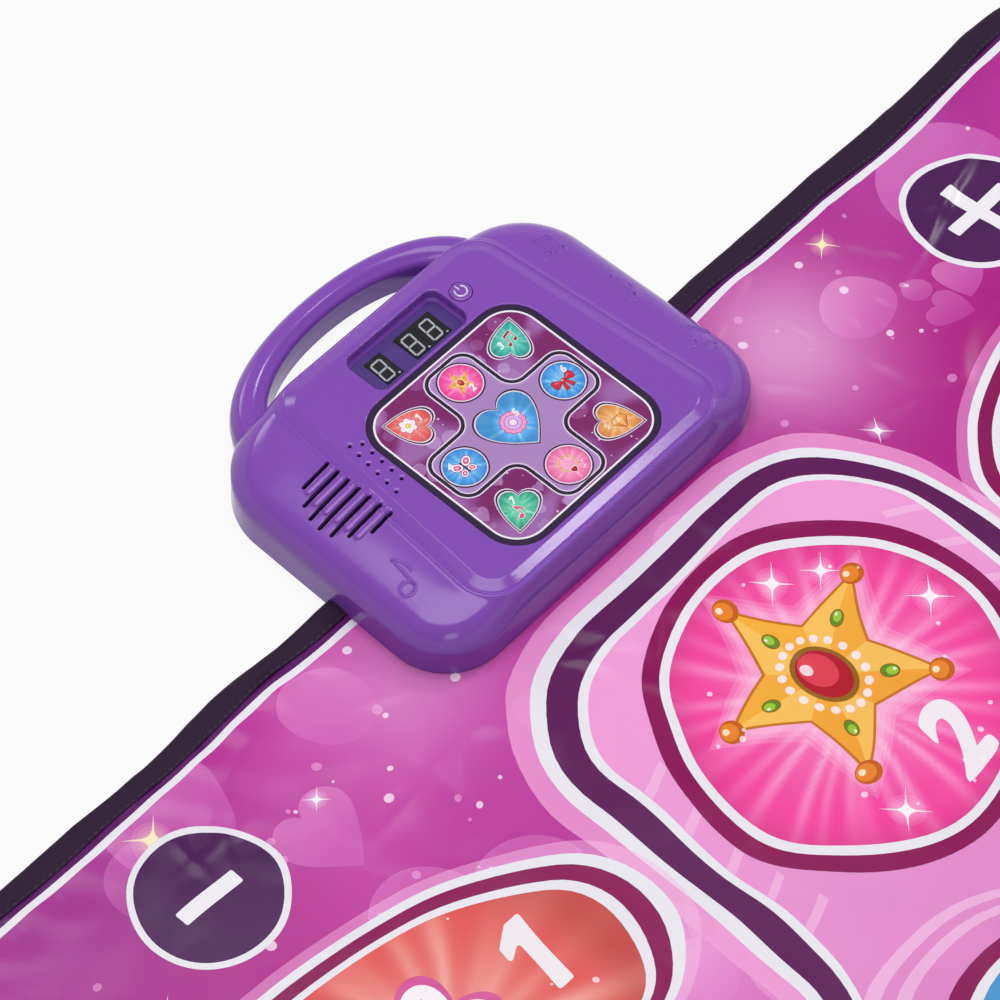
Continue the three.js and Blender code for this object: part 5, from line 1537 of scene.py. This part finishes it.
def prism(loop, bottom, top, soft=0.0):
    """A flat shape with upright sides and, if soft, a small chamfer round its top."""
    rows = [(loop, bottom), (loop, top - soft)]
    if soft:
        middle = loop.mean(0)
        reach = np.linalg.norm(loop - middle, axis=1)[:, None]
        rows.append((middle + (loop - middle) * (1 - soft / reach), top))
    return tube([np.column_stack([flat, np.full(len(flat), high)]) for flat, high in rows])


def segment_digit(x, y, width, height, bar, lean, top):
    """Seven bars with pointed ends and a round dot, leaning to the right."""
    w, h = width / 2, height / 2
    places = [((-w, h), (w, h)), ((-w, 0), (w, 0)), ((-w, -h), (w, -h)), ((-w, 0), (-w, h)), ((w, 0), (w, h)),
              ((-w, -h), (-w, 0)), ((w, -h), (w, 0))]
    parts = []
    for start, end in places:
        start, end = np.array(start, float), np.array(end, float)
        along = (end - start) / np.linalg.norm(end - start)
        across = np.array([-along[1], along[0]]) * bar / 2
        start, end = start + along * bar * 0.55, end - along * bar * 0.55
        loop = np.array([start - along * bar / 2, start - across, end - across, end + along * bar / 2,
                         end + across, start + across])
        loop = loop + loop[:, 1:] * [lean, 0] + [x, y]
        parts.append(prism(loop, top - 0.3, top + 0.12))
    parts.append(prism(ring(x + 5.6, y - 7.7, 0.7, 14), top - 0.3, top + 0.12))
    return parts


def display_digits():
    """The unlit segments of the single and the double digit display."""
    top = LAYERS["single_digit_display"][1]
    parts = []
    for x in (-20.1, 4.7, 19.6):
        parts += segment_digit(x, 82.5, 7.2, 13.8, 1.25, 0.085, top)
    points, faces = joined([(on_console(p), f) for p, f in parts])
    return piece("display_segments", points, faces, material_of("segment"), slot="white_plastic",
                 smooth=False)


def power_cap():
    """The power button: a turned cap with a round edge, and its raised ring-and-bar symbol."""
    bottom, top = LAYERS["power_button"]
    profile = [(2.5, bottom), (2.5, 39.6), (7.5, 39.6), (7.5, 40.8), (6.6, 41.2), (6.6, top - 0.5),
               (6.45, top - 0.15), (6.1, top), (4.0, top + 0.05)]
    points, faces = tube([np.column_stack([ring(*POWER, r, 48), np.full(48, z)]) for r, z in profile])
    cap = piece("power_cap", on_console(points), faces, material_of("case"), body="power_button",
                slot="purple_plastic", replaces=["power_button"])
    cap.data.set_sharp_from_angle(angle=math.radians(35))
    path = POWER + 3.7 * spokes(np.linspace(np.radians(128), np.radians(412), 40))
    bar = POWER + np.array([(0, 0.9), (0, 3.0), (0, 5.1)])
    parts = [wire(line, top + 0.12, 0.6) for line in (path, bar)]
    points, faces = joined([(on_console(p), f) for p, f in parts])
    piece("power_symbol", points, faces, material_of("silver"), body="power_button", slot="steel")
    return cap


def wire(line, high, radius, sides=10):
    """A round rod along a flat line, drawn in at its ends."""
    side, angle = left_of(heading(line)), even_turn(sides)
    size = np.full(len(line), radius)
    size[[0, -1]] = radius * 0.6
    flat = line[:, None] + side[:, None] * (np.cos(angle)[None, :, None] * size[:, None, None])
    rise = high + np.sin(angle)[None] * size[:, None]
    return tube(np.concatenate([flat, rise[..., None]], -1))


# What a user would change

class DanceMatSettings(bpy.types.PropertyGroup):
    """Sizes of the mesh and places of the stage."""
    print_spacing: bpy.props.FloatProperty(
        name="Print spacing", description="Distance between the points of the printed cover's mesh",
        default=5 * MM, unit="LENGTH")
    pad_spacing: bpy.props.FloatProperty(
        name="Pad spacing", description="Distance between the points of the pads' meshes",
        default=3 * MM, unit="LENGTH")
    view_azimuth: bpy.props.FloatProperty(
        name="View azimuth", description="Where the camera stands, from the near side towards the right",
        default=math.radians(-48.84), subtype="ANGLE")
    view_elevation: bpy.props.FloatProperty(
        name="View elevation", description="How high above the floor the camera looks from",
        default=math.radians(55.51), subtype="ANGLE")
    view_roll: bpy.props.FloatProperty(
        name="View roll", description="How far the camera is turned about its own axis",
        default=math.radians(1.72), subtype="ANGLE")
    view_distance: bpy.props.FloatProperty(
        name="View distance", description="From the camera to the point it looks at",
        default=2.4648, unit="LENGTH")
    lens: bpy.props.FloatProperty(
        name="Lens", description="Focal length of the camera, in millimetres", default=157.2)


class DANCEMAT_OT_cover(bpy.types.Operator):
    """Builds the printed cover, the step pads, the hem and the layers under them"""
    bl_idname = "dancemat.cover"
    bl_label = "Printed cover and pads"

    def execute(self, context):
        settings = context.scene.dance_mat
        cover, size, area = cover_sheets(settings.print_spacing / MM, settings.pad_spacing / MM)
        binding, seam = hem(), stitches()
        cuts = [pad_outline(number, 0.8) for number in range(1, 10)]
        cuts += [ring(x, y, VOLUME_RADIUS + 0.8, 48) for x, y in VOLUME_MIDDLES.values()]
        backing, size_b, area_b = soft_layer("backing_sheet", "nonslip_backing", "backing", "backing_cloth")
        foam, _, _ = soft_layer("base_foam_sheet", "base_foam", "foam", "foam_sheet")
        film, size_f, area_f = soft_layer("contact_film_sheet", "contact_film", "film", "clear_film")
        cushion, _, _ = soft_layer("cushion_foam_sheet", "cushion_foam", "foam", "foam_sheet", cuts)
        return {"FINISHED"}


class DANCEMAT_OT_case(bpy.types.Operator):
    """Builds the console's top case and its carry handle"""
    bl_idname = "dancemat.case"
    bl_label = "Console case and handle"

    def execute(self, context):
        case_shell()
        handle()
        return {"FINISHED"}


class DANCEMAT_OT_panel(bpy.types.Operator):
    """Builds the printed game panel, the display's segments and the power button"""
    bl_idname = "dancemat.panel"
    bl_label = "Game panel, display and button"

    def execute(self, context):
        game_panel()
        display_digits()
        power_cap()
        return {"FINISHED"}


NODE_FINISHES = {
    "bottom_case": "case", "battery_door": "case", "display_tray": "well", "clamp_plate": "black",
    "sound_chip": "black", "power_switch": "black", "single_digit_display": "smoked",
    "double_digit_display": "smoked", "main_board": "board", "display_board": "board",
    "tail_connector": "white", "light_box": "white", "membrane_tail": "film", "contact_film": "film",
    "base_foam": "foam", "cushion_foam": "foam", "nonslip_backing": "backing", "speaker_frame": "cone",
    "speaker_magnet": "steel", "speaker_cone": "cone", "battery": "cell", "battery_contact": "steel",
    "indicator_led": "white", "screw": "steel",
}


class DANCEMAT_OT_inner_parts(bpy.types.Operator):
    """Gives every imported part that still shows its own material"""
    bl_idname = "dancemat.inner_parts"
    bl_label = "Inner parts"

    def execute(self, context):
        for name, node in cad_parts.items():
            keys = [key for key in NODE_FINISHES if key in name]
            if not keys:
                continue
            node.data.materials.clear()
            node.data.materials.append(material_of(NODE_FINISHES[max(keys, key=len)]))
        return {"FINISHED"}


class DANCEMAT_OT_stage(bpy.types.Operator):
    """Lays a pale floor, hangs the lamps and sets the camera"""
    bl_idname = "dancemat.stage"
    bl_label = "Floor, lamps and camera"

    def execute(self, context):
        settings = context.scene.dance_mat
        floor_and_world(context.scene)
        lamps(context.scene)
        camera(context.scene, settings)
        context.scene.view_settings.view_transform = "Standard"
        return {"FINISHED"}


def floor_and_world(scene):
    """A pale floor that curves up into a wall far round it, under a plain grey-white world. Its profile is
    given in metres as radius and height: level, a quarter circle, and upright."""
    reach, turn, wall, sunk = 24.0, 4.0, 12.0, 0.0004
    bend = np.linspace(0, np.pi / 2, 9)
    curve = zip(reach + turn * np.sin(bend), turn - turn * np.cos(bend))
    profile = [(0.5, 0.0), (20.0, 0.0), *curve, (reach + turn, wall)]
    points, quads = strip([np.column_stack([ring(0, 0, r, 72), np.full(72, z - sunk)]) for r, z in profile])
    mesh = bpy.data.meshes.new("floor")
    mesh.from_pydata(points.tolist(), [], [list(range(72)), *quads[:, ::-1].tolist()])
    mesh.polygons.foreach_set("use_smooth", np.ones(len(mesh.polygons), bool))
    floor = bpy.data.objects.new("floor", mesh)
    scene.collection.objects.link(floor)
    mesh.materials.append(paper_floor())
    world = bpy.data.worlds.new("studio")
    scene.world = world
    world.use_nodes = True
    tree = world.node_tree
    tree.nodes.clear()
    plain = add_node(tree, "ShaderNodeBackground", {"Color": (1, 1, 1, 1), "Strength": 0.37})
    add_node(tree, "ShaderNodeOutputWorld", None, {"Surface": plain.outputs[0]})


def paper_floor():
    """Matt paper, seen by the camera, by gloss and through glass mostly as plain white, so that the
    object's shadow on it is faint."""
    material = finish("matt_white_paper", "#d6d6d6", roughness=0.9, grain=4.0, depth=0.0, mottle=0.0)
    tree = material.node_tree
    body, out = tree.nodes["Principled BSDF"], tree.nodes["Material Output"]
    seen = add_node(tree, "ShaderNodeLightPath")
    either = add_node(tree, "ShaderNodeMath", None, {
        0: seen.outputs["Is Camera Ray"], 1: seen.outputs["Is Glossy Ray"]}, operation="MAXIMUM")
    any_way = add_node(tree, "ShaderNodeMath", None, {
        0: either.outputs[0], 1: seen.outputs["Is Transmission Ray"]}, operation="MAXIMUM")
    share = add_node(tree, "ShaderNodeMath", {1: 0.9}, {0: any_way.outputs[0]}, operation="MULTIPLY")
    white = add_node(tree, "ShaderNodeEmission", {"Color": (1, 1, 1, 1), "Strength": 1.0})
    mix = add_node(tree, "ShaderNodeMixShader", None, {
        0: share.outputs[0], 1: body.outputs[0], 2: white.outputs[0]})
    tree.links.new(mix.outputs[0], out.inputs["Surface"])
    return material


LAMP_AIM = Vector((0, 0.4, 0))


def lamp(scene, name, place, size, power):
    """A round area lamp that faces the console."""
    data = bpy.data.lights.new(name, "AREA")
    data.shape, data.energy, data.size = "DISK", power, size
    made = bpy.data.objects.new(name, data)
    made.location = place
    made.rotation_euler = (LAMP_AIM - Vector(place)).to_track_quat("-Z", "Y").to_euler()
    scene.collection.objects.link(made)


def lamps(scene):
    """A broad soft lamp overhead, one behind for the far rims, and small ones at the right, in front and
    beside the camera, whose glints show on round edges."""
    lamp(scene, "overhead_softbox", (-0.05, 0.68, 3.0), 2.15, 45)
    lamp(scene, "near_glint", (1.2, -0.3, 2.45), 0.22, 3.5)
    lamp(scene, "right_glint", (1.95, 0.35, 2.35), 0.55, 11)
    lamp(scene, "back_strip", (0.35, 2.9, 2.0), 0.7, 7)
    lamp(scene, "side_softbox", (-1.9, -1.6, 1.9), 1.0, 7)


def camera(scene, settings):
    """The photograph's camera: a long lens, looking down at the console from the near left."""
    azimuth, elevation, roll = settings.view_azimuth, settings.view_elevation, settings.view_roll
    back = Vector((math.sin(azimuth) * math.cos(elevation), -math.cos(azimuth) * math.cos(elevation),
                   math.sin(elevation)))
    right = Vector((math.cos(azimuth), math.sin(azimuth), 0))
    up = back.cross(right)
    level, tilt = math.cos(roll), math.sin(roll)
    across, above = right * level + up * tilt, up * level - right * tilt
    target = Vector(((-24.6 + ORIGIN[0]) * MM, (-12.5 + ORIGIN[1]) * MM, MAT_TOP * MM))
    data = bpy.data.cameras.new("camera")
    data.sensor_width = 36
    data.lens = settings.lens
    data.clip_end = 30
    made = bpy.data.objects.new("camera", data)
    turn = Matrix((across, above, back)).transposed().to_4x4()
    made.matrix_world = Matrix.Translation(target + back * settings.view_distance) @ turn
    scene.collection.objects.link(made)
    scene.camera = made


class DANCEMAT_PT_panel(bpy.types.Panel):
    """Lists the steps that dress the dance mat"""
    bl_label = "Dance mat"
    bl_idname = "DANCEMAT_PT_panel"
    bl_space_type = "VIEW_3D"
    bl_region_type = "UI"
    bl_category = "Dance mat"

    def draw(self, context):
        settings = context.scene.dance_mat
        for key in DanceMatSettings.__annotations__:
            self.layout.prop(settings, key)
        for step_class in STEPS:
            self.layout.operator(step_class.bl_idname)


STEPS = [DANCEMAT_OT_stage, DANCEMAT_OT_cover, DANCEMAT_OT_case, DANCEMAT_OT_panel, DANCEMAT_OT_inner_parts]


def register():
    for made in (DanceMatSettings, *STEPS, DANCEMAT_PT_panel):
        bpy.utils.register_class(made)
    bpy.types.Scene.dance_mat = bpy.props.PointerProperty(type=DanceMatSettings)


def unregister():
    del bpy.types.Scene.dance_mat
    for made in (DANCEMAT_PT_panel, *STEPS[::-1], DanceMatSettings):
        bpy.utils.unregister_class(made)


def main():
    register()
    for made in STEPS:
        group, name = made.bl_idname.split(".")
        getattr(getattr(bpy.ops, group), name)()


if __name__ == "__main__":
    main()
